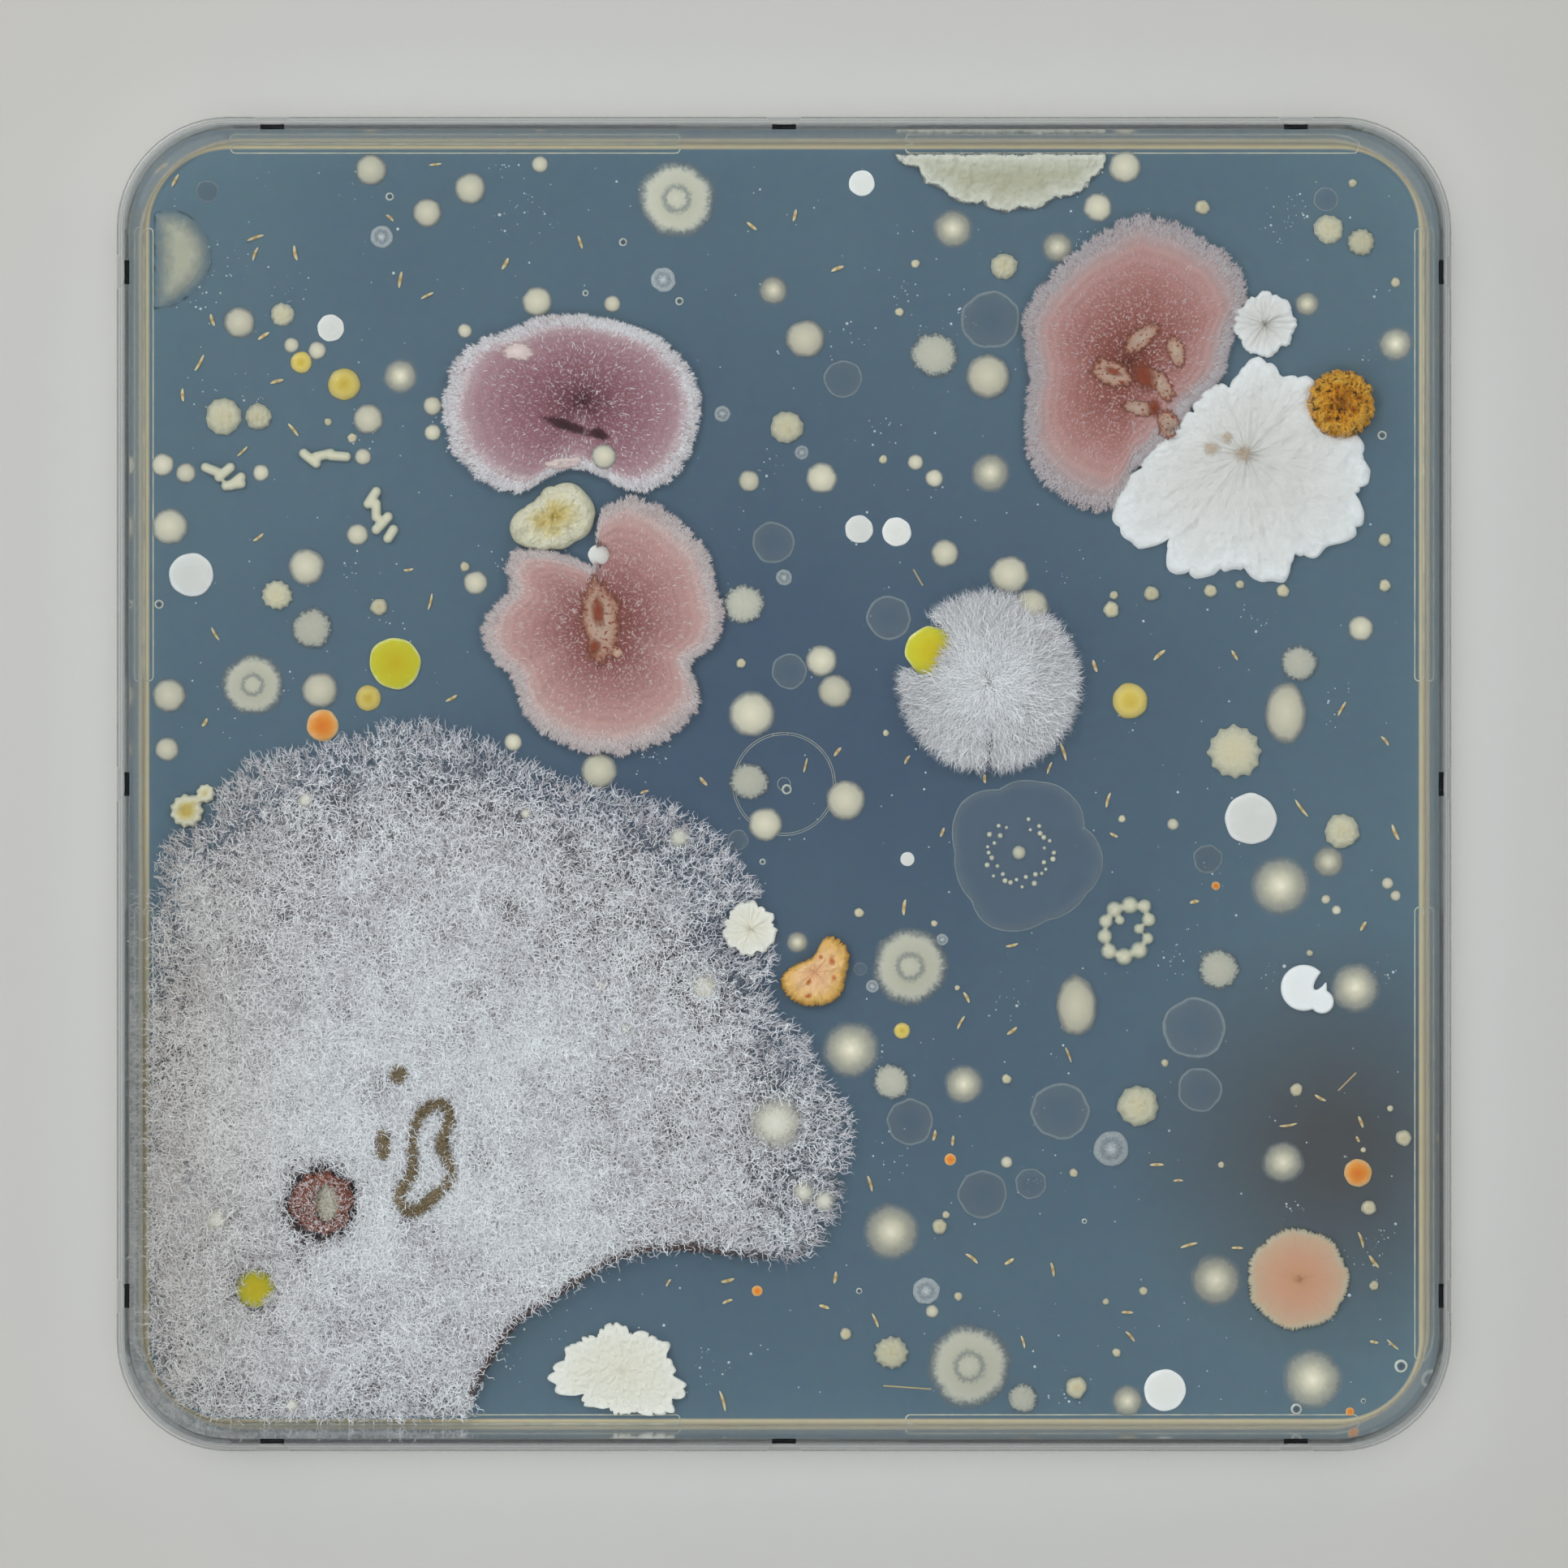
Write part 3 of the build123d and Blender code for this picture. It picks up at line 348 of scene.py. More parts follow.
def hair_of(name, dark, light, warm=None):
    """Mould hair: fine pale threads, drawn thicker than life so that they show.
    warm is the tint they take on towards the left wall."""
    material, tree, place = start(name)
    tone = add(tree, "Attribute", {"attribute_name": "tone"}).outputs["Fac"]
    patch = add(tree, "TexNoise", {"Scale": scale_of(9), "Detail": 3.0}, {"Vector": place})
    both = add(tree, "Math", {"operation": "MULTIPLY_ADD", 1: 0.6}, {0: patch.outputs["Fac"], 2: tone})
    colour = ramp(tree, both.outputs[0], [(0.2, dark), (0.85, light)])
    if warm:
        split = add(tree, "SeparateXYZ", links={0: place})
        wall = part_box("white_mould_mat")[0][0]
        left = add(
            tree, "MapRange", {"From Min": wall + 33 * MM, "From Max": wall + 3 * MM, "To Max": 0.5},
            {"Value": split.outputs["X"]},
        )
        colour = add(
            tree, "Mix", {"data_type": "RGBA", 7: linear(warm)}, {0: left.outputs["Result"], 6: colour},
        ).outputs[2]
    thread = add(
        tree, "BsdfPrincipled", {"Roughness": 0.75, "IOR": 1.45}, {"Base Color": colour},
    )
    close(tree, thread.outputs["BSDF"])
    return material


def felt_of(name, stops, weave_mm, patch_mm, bump_mm, thin=None, shadow_and_dark_tint=None):
    """Matted mould: tangled threads seen as a fine static, in paler and darker patches, with painted shade in
    the hollows of the weave.
    The last argument is the colour it turns where its tone attribute is high; on the mat that is a painted
    shadow along its free lower edge and a darker ground round the crater."""
    material, tree, place = start(name)
    rim = add(tree, "Attribute", {"attribute_name": "rim"}).outputs["Fac"]
    warp = add(tree, "TexNoise", {"Scale": scale_of(weave_mm * 2), "Detail": 2.0}, {"Vector": place})
    bent = add(
        tree, "VectorMath", {"operation": "MULTIPLY_ADD", 1: (weave_mm * 2 * MM,) * 3},
        {0: warp.outputs["Color"], 2: place},
    )
    weave = add(
        tree, "TexNoise", {"Scale": scale_of(weave_mm), "Detail": 6.0, "Roughness": 0.8},
        {"Vector": bent.outputs[0]},
    )
    patch = add(
        tree, "TexNoise", {"Scale": scale_of(patch_mm), "Detail": 3.0, "Roughness": 0.55}, {"Vector": place},
    )
    sharp = add(
        tree, "MapRange", {"From Min": 0.32, "From Max": 0.68, "To Min": -0.28, "To Max": 0.28},
        {"Value": weave.outputs["Fac"]},
    )
    level = add(
        tree, "Math", {"operation": "ADD"}, {0: patch.outputs["Fac"], 1: sharp.outputs["Result"]},
    )
    # Painted shade: the weave that drives the bump also darkens the colour, so the hollows between threads
    # come out darker
    colour = ramp(tree, level.outputs[0], stops)
    if shadow_and_dark_tint:
        # Painted shade where tone is high: the mat's shadowed lower edge, and its darker ground by the crater
        tone = add(tree, "Attribute", {"attribute_name": "tone"}).outputs["Fac"]
        colour = add(tree, "Mix", {"data_type": "RGBA", 7: linear(shadow_and_dark_tint)}, {0: tone, 6: colour}).outputs[2]
    bump = add(tree, "Bump", {"Strength": 1.0, "Distance": bump_mm * MM}, {"Height": weave.outputs["Fac"]})
    felt = add(
        tree, "BsdfPrincipled", {"Roughness": 0.9, "IOR": 1.4},
        {"Base Color": colour, "Normal": bump.outputs["Normal"]},
    )
    if thin:
        cover = ramp(tree, rim, thin)
        gap = add(
            tree, "MapRange", {"From Min": 0.35, "From Max": 0.65}, {"Value": weave.outputs["Fac"]},
        )
        total = add(tree, "Math", {"operation": "ADD"}, {0: cover, 1: gap.outputs["Result"]})
        kept = add(
            tree, "MapRange", {"From Min": 0.8, "From Max": 1.15}, {"Value": total.outputs[0]},
        )
        tree.links.new(kept.outputs["Result"], felt.inputs["Alpha"])
    close(tree, felt.outputs["BSDF"])
    return material


def plain_grain(name, dark, light, grain_mm, rough, bump_mm=0.03):
    """A small dry or dusty thing: two tones in a fine grain."""
    material, tree, place = start(name)
    grain = add(tree, "TexNoise", {"Scale": scale_of(grain_mm), "Detail": 4.0}, {"Vector": place})
    colour = ramp(tree, grain.outputs["Fac"], [(0.3, dark), (0.7, light)])
    bump = add(tree, "Bump", {"Strength": 0.6, "Distance": bump_mm * MM}, {"Height": grain.outputs["Fac"]})
    skin = add(
        tree, "BsdfPrincipled", {"Roughness": rough, "IOR": 1.45},
        {"Base Color": colour, "Normal": bump.outputs["Normal"]},
    )
    close(tree, skin.outputs["BSDF"])
    return material


# ----------------------------------------------------------------------
# Shaping
# ----------------------------------------------------------------------


def deselect():
    """Leaves edit mode and deselects everything."""
    if bpy.context.object and bpy.context.object.mode != "OBJECT":
        bpy.ops.object.mode_set(mode="OBJECT")
    bpy.ops.object.select_all(action="DESELECT")


def pick(obj):
    """Makes obj the only selected and the active object."""
    deselect()
    obj.select_set(True)
    bpy.context.view_layer.objects.active = obj


def merged_copy(node, name):
    """A copy of a CAD node with its doubled points merged."""
    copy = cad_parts[node].copy()
    copy.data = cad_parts[node].data.copy()
    copy.name = name
    copy.parent = None
    bpy.context.scene.collection.objects.link(copy)
    copy.data.materials.clear()
    pick(copy)
    bpy.ops.object.mode_set(mode="EDIT")
    bpy.ops.mesh.select_all(action="SELECT")
    bpy.ops.mesh.remove_doubles(threshold=0.002 * MM)
    bpy.ops.object.mode_set(mode="OBJECT")
    return copy


def points_of(mesh):
    """The mesh's points as an array."""
    flat = np.empty(3 * len(mesh.vertices))
    mesh.vertices.foreach_get("co", flat)
    return flat.reshape(-1, 3)


def set_points(mesh, points):
    """Moves the mesh's points."""
    mesh.vertices.foreach_set("co", points.ravel())
    mesh.update()


def mark(mesh, **values):
    """Stores point attributes: one column makes a float, three a vector."""
    for name, data in values.items():
        data = np.asarray(data, dtype=np.float32)
        if data.ndim == 1:
            mesh.attributes.new(name, "FLOAT", "POINT").data.foreach_set("value", data)
        else:
            mesh.attributes.new(name, "FLOAT_VECTOR", "POINT").data.foreach_set("vector", data.ravel())


def islands(node):
    """(middle, half size) of each separate solid of a CAD node, left to right."""
    copy = merged_copy(node, "count")
    mesh = copy.data
    points = points_of(mesh)
    owner = np.arange(len(points))
    edges = np.empty(2 * len(mesh.edges), dtype=np.int64)
    mesh.edges.foreach_get("vertices", edges)
    edges = edges.reshape(-1, 2)
    while True:
        low = np.minimum(owner[edges[:, 0]], owner[edges[:, 1]])
        before = owner.copy()
        np.minimum.at(owner, edges[:, 0], low)
        np.minimum.at(owner, edges[:, 1], low)
        owner = owner[owner]
        if (owner == before).all():
            break
    found = []
    for label in np.unique(owner):
        part = points[owner == label]
        low, high = part.min(axis=0), part.max(axis=0)
        found.append(((low + high) / 2, (high - low) / 2))
    bpy.data.objects.remove(copy)
    return sorted(found, key=lambda pair: tuple(pair[0]))


def settle(obj, material, slot, *nodes, body=STILL, smooth=True):
    """Finishes a piece: material, shading, body and the nodes it stands for; slot is not used."""
    obj.data.materials.clear()
    obj.data.materials.append(material)
    pick(obj)
    if smooth:
        bpy.ops.object.shade_smooth()
    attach(obj, body)
    if nodes:
        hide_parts(*nodes)
    return obj


def half_ball(segments, rings):
    """The upper half of a ball one metre in radius, open below, as a master to copy."""
    deselect()
    bpy.ops.mesh.primitive_uv_sphere_add(segments=segments, ring_count=rings, radius=1.0)
    bpy.ops.object.mode_set(mode="EDIT")
    bpy.ops.mesh.select_all(action="SELECT")
    bpy.ops.mesh.bisect(plane_co=(0, 0, 0), plane_no=(0, 0, 1), clear_inner=True)
    bpy.ops.object.mode_set(mode="OBJECT")
    master = bpy.context.object
    master.name = "half_ball"
    return master


def waviness(angle, dice, waves):
    """A smooth closed wave round a circle, about -1 to 1, from a few seeded sines."""
    total = np.zeros_like(angle)
    for count in waves:
        total += np.sin(count * angle + dice.uniform(0, 2 * pi)) * dice.uniform(0.4, 1.0)
    return total / (0.6 * len(waves))


def colonies(name, node, material, slot, spread=1.0, power=0.7, wave=0.03,
             petals=0, depth=0.0, wrinkle=0.0, crown=0.0, segments=40, rings=24, seed=1):
    """Round colonies, one on each solid of a CAD node, joined as one piece.

    spread widens them past the CAD solid for a thin halo; power shapes the shoulder;
    crown adds a raised heart; petals and depth notch the edge; wrinkle folds the top."""
    dice = np.random.default_rng(seed)
    master = half_ball(segments, rings)
    unit = points_of(master.data)
    reach = np.hypot(unit[:, 0], unit[:, 1])
    angle = np.arctan2(unit[:, 1], unit[:, 0])
    copies, rims, fans, tones = [], [], [], []
    for middle, half in islands(node):
        grown = reach * (1 + wave * waviness(angle, dice, (2, 3, 5, 8)) * reach)
        if petals:
            grown *= 1 - depth * np.abs(np.sin(petals * angle / 2 + dice.uniform(0, pi))) ** 0.6 * reach**2
        height = 2 * half[2] * (1 - np.clip(reach, 0, 1) ** 2) ** power
        height += crown * half[2] * np.exp(-((reach / 0.35) ** 2))
        seat = middle[2] - half[2] + SEAT
        points = np.column_stack((
            middle[0] + grown * np.cos(angle) * half[0] * spread,
            middle[1] + grown * np.sin(angle) * half[1] * spread,
            seat + height,
        ))
        if wrinkle:
            fold = [
                abs(noise(Vector(p) * scale_of(1.1))) * wrinkle * MM * (1 - r**4)
                for p, r in zip(points, reach)
            ]
            points[:, 2] += fold
        copy = master.copy()
        copy.data = master.data.copy()
        bpy.context.scene.collection.objects.link(copy)
        set_points(copy.data, points)
        copies.append(copy)
        start_angle = dice.uniform(0, 50)
        rims.append(reach)
        fans.append(np.column_stack((np.cos(angle), np.sin(angle), start_angle + 0.4 * reach)))
        tones.append(np.full(len(reach), dice.uniform(0, 1)))
    bpy.data.objects.remove(master)
    deselect()
    for copy in copies:
        copy.select_set(True)
    bpy.context.view_layer.objects.active = copies[0]
    if len(copies) > 1:
        bpy.ops.object.join()
    piece = bpy.context.object
    piece.name = piece.data.name = name
    mark(
        piece.data, rim=np.concatenate(rims), fan=np.concatenate(fans), tone=np.concatenate(tones),
    )
    return settle(piece, material, slot, node)


def pad(name, node, material, slot, voxel, shoulder, reach, rough_mm=0.0,
        lump_mm=4.0, stretch=1.0, seed=0.0, fray=0.0, fray_mm=1.5):
    """A colony that keeps its CAD solid's outline: remeshed, rounded at the edge and uneven on top.

    shoulder is how far in the edge rounds over, reach how far in the rim attribute runs,
    all in millimetres; stretch thickens a thin sheet while it is remeshed."""
    piece = merged_copy(node, name)
    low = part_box(node)[0][2]
    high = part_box(node)[1][2]
    points = points_of(piece.data)
    points[:, 2] = low + (points[:, 2] - low) * stretch
    set_points(piece.data, points)
    remesh = piece.modifiers.new("even", "REMESH")
    remesh.mode = "VOXEL"
    remesh.voxel_size = voxel * MM
    pick(piece)
    bpy.ops.object.modifier_apply(modifier=remesh.name)
    mesh = piece.data
    points = points_of(mesh)
    normals = np.empty(3 * len(mesh.vertices))
    mesh.vertices.foreach_get("normal", normals)
    normals = normals.reshape(-1, 3)
    side = np.abs(normals[:, 2]) < 0.55
    tree = kdtree.KDTree(int(side.sum()))
    for index, point in enumerate(points[side]):
        tree.insert((point[0], point[1], 0), index)
    tree.balance()
    inward = np.array([tree.find((p[0], p[1], 0))[2] for p in points]) / MM
    tall = high - low
    share = np.clip((points[:, 2] - low) / (tall * stretch), 0, 1)
    ease = np.clip(inward / shoulder, 0, 1)
    ease = np.sqrt(1 - (1 - ease) ** 2)
    middle = points.mean(axis=0)
    lumps = np.array([
        fractal(Vector((p[0], p[1], seed)) * scale_of(lump_mm), 0.8, 2.0, 4) for p in points
    ])
    top = tall * (0.25 + 0.75 * ease) + rough_mm * lumps * MM * ease
    points[:, 2] = low + SEAT + np.maximum(top, 0.05 * MM) * share
    if fray:
        push = np.array([
            noise(Vector((p[0], p[1], seed + 9)) * scale_of(fray_mm)) for p in points
        ]) * fray * MM * np.clip(1 - inward / (3 * fray), 0, 1)
        away = normals[:, :2] / np.maximum(np.hypot(normals[:, 0], normals[:, 1]), 0.2)[:, None]
        points[:, :2] += away * (push * side)[:, None]
    set_points(mesh, points)
    flat = points[:, :2] - middle[:2]
    long = np.maximum(np.hypot(flat[:, 0], flat[:, 1]), 1e-6)
    mark(
        mesh, rim=1 - np.clip(inward / reach, 0, 1),
        fan=np.column_stack((flat / long[:, None], np.full(len(points), seed))),
        tone=np.full(len(points), 0.5),
    )
    return settle(piece, material, slot, node)


def patches(name, material, slot, places, seed):
    """Thin ragged patches laid on whatever growth is below, each (CAD node, share across its box,
    share up its box, half width, half length, turn) in millimetres and radians."""
    dice = np.random.default_rng(seed)
    below = bpy.context.evaluated_depsgraph_get()
    scene = bpy.context.scene
    master = half_ball(40, 20)
    unit = points_of(master.data)
    reach = np.hypot(unit[:, 0], unit[:, 1])
    angle = np.arctan2(unit[:, 1], unit[:, 0])
    faces = [tuple(face.vertices) for face in master.data.polygons]
    bpy.data.objects.remove(master)
    rows, lists, fans = [], [], []
    for index, (node, share_across, share_up, half_width, half_length, turn) in enumerate(places):
        x, y = spot(node, share_across, share_up)
        ragged = 1 + reach * 0.22 * waviness(angle, dice, (3, 5, 9, 14))
        across, along = unit[:, 0] * ragged * half_width * MM, unit[:, 1] * ragged * half_length * MM
        flat = np.column_stack((
            x + across * cos(turn) - along * sin(turn), y + across * sin(turn) + along * cos(turn),
        ))
        height = [
            scene.ray_cast(below, (a, b, RIM_TOP - 1 * MM), (0, 0, -1), distance=0.03)[1][2] for a, b in flat
        ]
        lift = 0.06 * MM + 0.2 * MM * (1 - np.clip(reach, 0, 1) ** 2)
        rows.append(np.column_stack((flat, np.array(height) + lift)))
        lists += [tuple(corner + index * len(unit) for corner in face) for face in faces]
        fans.append(np.column_stack((np.cos(angle), np.sin(angle), np.full(len(unit), 3.0 * index))))
    mesh = bpy.data.meshes.new(name)
    mesh.from_pydata(np.vstack(rows), [], lists)
    mark(
        mesh, rim=np.tile(reach, len(places)), fan=np.vstack(fans),
        tone=np.repeat(dice.uniform(0.2, 0.8, len(places)), len(unit)),
    )
    piece = bpy.data.objects.new(name, mesh)
    bpy.context.scene.collection.objects.link(piece)
    return settle(piece, material, slot)


def chips(name, node, material, slot, half_width_mm, half_height_mm, seed):
    """A lens-shaped chip along each bar of a CAD node, joined as one piece."""
    dice = np.random.default_rng(seed)
    deselect()
    bpy.ops.mesh.primitive_uv_sphere_add(segments=8, ring_count=6, radius=1.0)
    bpy.ops.object.mode_set(mode="EDIT")
    bpy.ops.mesh.select_all(action="SELECT")
    bpy.ops.transform.rotate(value=pi / 2, orient_axis="Y", center_override=(0, 0, 0))
    bpy.ops.object.mode_set(mode="OBJECT")
    master = bpy.context.object
    unit = points_of(master.data)
    faces = [tuple(face.vertices) for face in master.data.polygons]
    bpy.data.objects.remove(master)
    copy = merged_copy(node, "bars")
    all_points = points_of(copy.data)
    bpy.data.objects.remove(copy)
    rows, lists, rims = [], [], []
    for index, (middle, half) in enumerate(islands(node)):
        near = np.all(np.abs(all_points - middle) <= half + 1e-6, axis=1)
        spread = all_points[near][:, :2] - middle[:2]
        away = spread[np.argmax(np.hypot(spread[:, 0], spread[:, 1]))]
        long = np.hypot(*away)
        along = away / long
        shape = unit * (long * dice.uniform(0.75, 1.05), half_width_mm * MM * dice.uniform(0.7, 1.2),
                        half_height_mm * MM)
        shape[:, 1] += dice.uniform(-0.12, 0.12) * long * (1 - unit[:, 0] ** 2)
        x = shape[:, 0] * along[0] - shape[:, 1] * along[1]
        y = shape[:, 0] * along[1] + shape[:, 1] * along[0]
        seat = middle[2] - half[2] + half_height_mm * MM
        rows.append(np.column_stack((x, y, shape[:, 2])) + (middle[0], middle[1], seat))
        lists += [tuple(corner + index * len(unit) for corner in face) for face in faces]
        rims.append(np.abs(unit[:, 0]))
    mesh = bpy.data.meshes.new(name)
    mesh.from_pydata(np.vstack(rows), [], lists)
    rim = np.concatenate(rims)
    mark(mesh, rim=rim, fan=np.zeros((len(rim), 3)), tone=np.repeat(dice.uniform(0, 1, len(rows)), len(unit)))
    piece = bpy.data.objects.new(name, mesh)
    bpy.context.scene.collection.objects.link(piece)
    return settle(piece, material, slot, node)


def reach_of(node, centre, steps):
    """How far the sides of a CAD node stand from centre, in equal steps round it, in metres."""
    copy = merged_copy(node, "outline")
    bpy.ops.object.mode_set(mode="EDIT")
    bpy.ops.mesh.select_all(action="SELECT")
    bpy.ops.mesh.subdivide(number_cuts=3)
    bpy.ops.object.mode_set(mode="OBJECT")
    flat = points_of(copy.data)[:, :2] - np.array(centre)
    bpy.data.objects.remove(copy)
    turn = np.arctan2(flat[:, 1], flat[:, 0])
    far = np.hypot(flat[:, 0], flat[:, 1])
    wanted = np.linspace(-pi, pi, steps, endpoint=False)
    bins = 90
    slot = np.floor((turn + pi) / (2 * pi) * bins).astype(int) % bins
    best = np.zeros(bins)
    np.maximum.at(best, slot, far)
    known = np.flatnonzero(best > 0.35 * best.max())
    middle = (known + 0.5) / bins * 2 * pi - pi
    reach = np.interp(wanted, middle, best[known], period=2 * pi)
    near = steps // 90
    return np.mean([np.roll(reach, shift) for shift in range(-near, near + 1)], axis=0)


def spread_growth(name, node, material, slot, centre=None, rings=56, steps=420, grow=1.0, edge=(),
                  folds=(), rise=1.0, shoulder=0.12, swell=0.0, lumps=0.0, lump_mm=3.0, seed=0,
                  wells=()):
    """A growth that spreads from a centre and keeps its CAD solid's outline.

    edge lists (count, share) rounded lobes with sharp cuts between them, folds lists (count, millimetres)
    radial folds of the top; shoulder is the share of the radius over which the edge rounds;
    wells lists nodes whose colonies stand in hollows of this one."""
    dice = np.random.default_rng(seed)
    low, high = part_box(node)
    if centre is None:
        centre = ((low[0] + high[0]) / 2, (low[1] + high[1]) / 2)
    angle = np.linspace(-pi, pi, steps, endpoint=False)
    reach = reach_of(node, centre, steps) * grow
    share = np.linspace(0, 1, rings + 1)[1:] ** 0.85
    tooth = np.zeros(steps)
    for count, depth in edge:
        shift = dice.uniform(0, 100)
        bulge = np.array([abs(noise(Vector((count * cos(a), count * sin(a), shift)))) for a in angle])
        tooth += depth * (np.minimum(3.5 * bulge, 1) ** 0.6 - 0.9)
    fold = np.zeros((rings, steps))
    for count, depth_mm in folds:
        shift = dice.uniform(0, 100)
        ridge = np.array([[
            abs(noise(Vector((count * cos(a), count * sin(a), shift + 1.5 * r)))) for a in angle
        ] for r in share])
        fold += depth_mm * MM * ridge
    radius = share[:, None] * reach[None] * (1 + tooth[None] * share[:, None] ** 5)
    x, y = centre[0] + radius * np.cos(angle), centre[1] + radius * np.sin(angle)
    wall = GEL_HALF - 1.6 * MM
    x, y = np.clip(x, -wall, wall), np.clip(y, -wall, wall)
    ease = np.sqrt(1 - (1 - np.clip((1 - share) / shoulder, 0, 1)) ** 2)[:, None]
    tall = (high[2] - low[2]) * rise
    bumps = np.array([
        fractal(Vector((a, b, seed)) * scale_of(lump_mm), 0.8, 2.0, 4) for a, b in zip(x.ravel(), y.ravel())
    ]).reshape(x.shape) if lumps else 0.0
    relief = fold + lumps * MM * bumps + swell * MM * (1 - share[:, None] ** 2)
    top = tall * (0.2 + 0.8 * ease) + relief * ease
    z = low[2] + np.maximum(top, 0.06 * MM) * np.minimum(ease * 6, 1) + SEAT
    for well in wells:
        for middle, half in islands(well):
            inside = np.hypot((x - middle[0]) / half[0], (y - middle[1]) / half[1]) < 1.03
            z = np.where(inside, low[2] + 0.03 * MM, z)
    points = np.column_stack((x.ravel(), y.ravel(), z.ravel()))
    points = np.vstack((points, [centre[0], centre[1], z[0].mean()]))
    ring = np.arange((rings - 1) * steps).reshape(rings - 1, steps)
    after = np.roll(ring, -1, axis=1)
    quads = np.stack((ring, ring + steps, after + steps, after), axis=-1).reshape(-1, 4)
    caps = [(int(i), (int(i) + 1) % steps, rings * steps) for i in range(steps)]
    mesh = bpy.data.meshes.new(name)
    mesh.from_pydata(points, [], quads.tolist() + caps)
    piece = bpy.data.objects.new(name, mesh)
    bpy.context.scene.collection.objects.link(piece)
    spoke = np.tile(angle, rings)
    long = np.repeat(share, steps)
    fan = np.column_stack((np.cos(spoke), np.sin(spoke), 0.35 * long + seed))
    mark(
        mesh, rim=np.append(long, 0.0), fan=np.vstack((fan, [0, 0, seed])),
        tone=np.full(len(points), 0.5),
    )
    return settle(piece, material, slot, node)


def crown_points(piece, attribute="rim"):
    """The upper points of a piece, where hair is rooted, and how near the edge each is."""
    mesh = piece.data
    normals = np.empty(3 * len(mesh.vertices))
    mesh.vertices.foreach_get("normal", normals)
    upper = (normals.reshape(-1, 3)[:, 2] > 0.3) & (points_of(mesh)[:, 2] > AGAR_TOP + 0.07 * MM)
    rim = np.empty(len(mesh.vertices), dtype=np.float32)
    mesh.attributes[attribute].data.foreach_get("value", rim)
    return points_of(mesh)[upper], rim[upper].astype(float)


def threads(name, material, slot, roots, lean, length, width, lift, tone, seed):
    """Hairs as narrow curled strips: from the root over two bends to the tip.

    lean is each hair's flat direction; length, lift and width are in metres."""
    dice = np.random.default_rng(seed)
    count = len(roots)
    long = length * dice.uniform(0.55, 1.35, count)[:, None]
    across = np.column_stack((-lean[:, 1], lean[:, 0], np.zeros(count)))
    curl = across * dice.uniform(-0.45, 0.45, count)[:, None] * long
    rise = np.column_stack((np.zeros((count, 2)), dice.uniform(0.3, 1.0, count) * lift))
    knee = roots + lean * long * 0.35 + rise * 0.6 + curl * 0.7
    bend = roots + lean * long * 0.7 + rise * 0.9 - curl * 0.25
    tip = roots + lean * long + rise + curl * 0.5
    half = across * width / 2
    rows = np.stack(
        (roots - half, roots + half, knee - half, knee + half, bend - 0.8 * half, bend + 0.8 * half, tip),
        axis=1,
    )
    base = 7 * np.arange(count)[:, None]
    quads = (base + np.array([0, 1, 3, 2])).tolist() + (base + np.array([2, 3, 5, 4])).tolist()
    tips = (base + np.array([4, 5, 6])).tolist()
    mesh = bpy.data.meshes.new(name)
    mesh.from_pydata(rows.reshape(-1, 3), [], quads + tips)
    mark(mesh, tone=np.repeat(tone, 7))
    piece = bpy.data.objects.new(name, mesh)
    bpy.context.scene.collection.objects.link(piece)
    return settle(piece, material, slot, smooth=False)


def random_leans(dice, count):
    """Flat unit directions all round."""
    turn = dice.uniform(0, 2 * pi, count)
    return np.column_stack((np.cos(turn), np.sin(turn), np.zeros(count)))


# ----------------------------------------------------------------------
# Operators, one for each piece or group of like pieces
# ----------------------------------------------------------------------


class DISH_OT_mouldings(bpy.types.Operator):
    """Clear polystyrene on the base and the lid"""

    bl_idname = "dish.mouldings"
    bl_label = "Clear mouldings"

    def execute(self, context):
        base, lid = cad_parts["dish_base"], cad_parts["lid"]
        base.material_slots[0].material = clear_polystyrene("polystyrene_base", 6, 0.06)
        lid.material_slots[0].material = clear_polystyrene("polystyrene_lid", 14, 0.01)
        return {"FINISHED"}


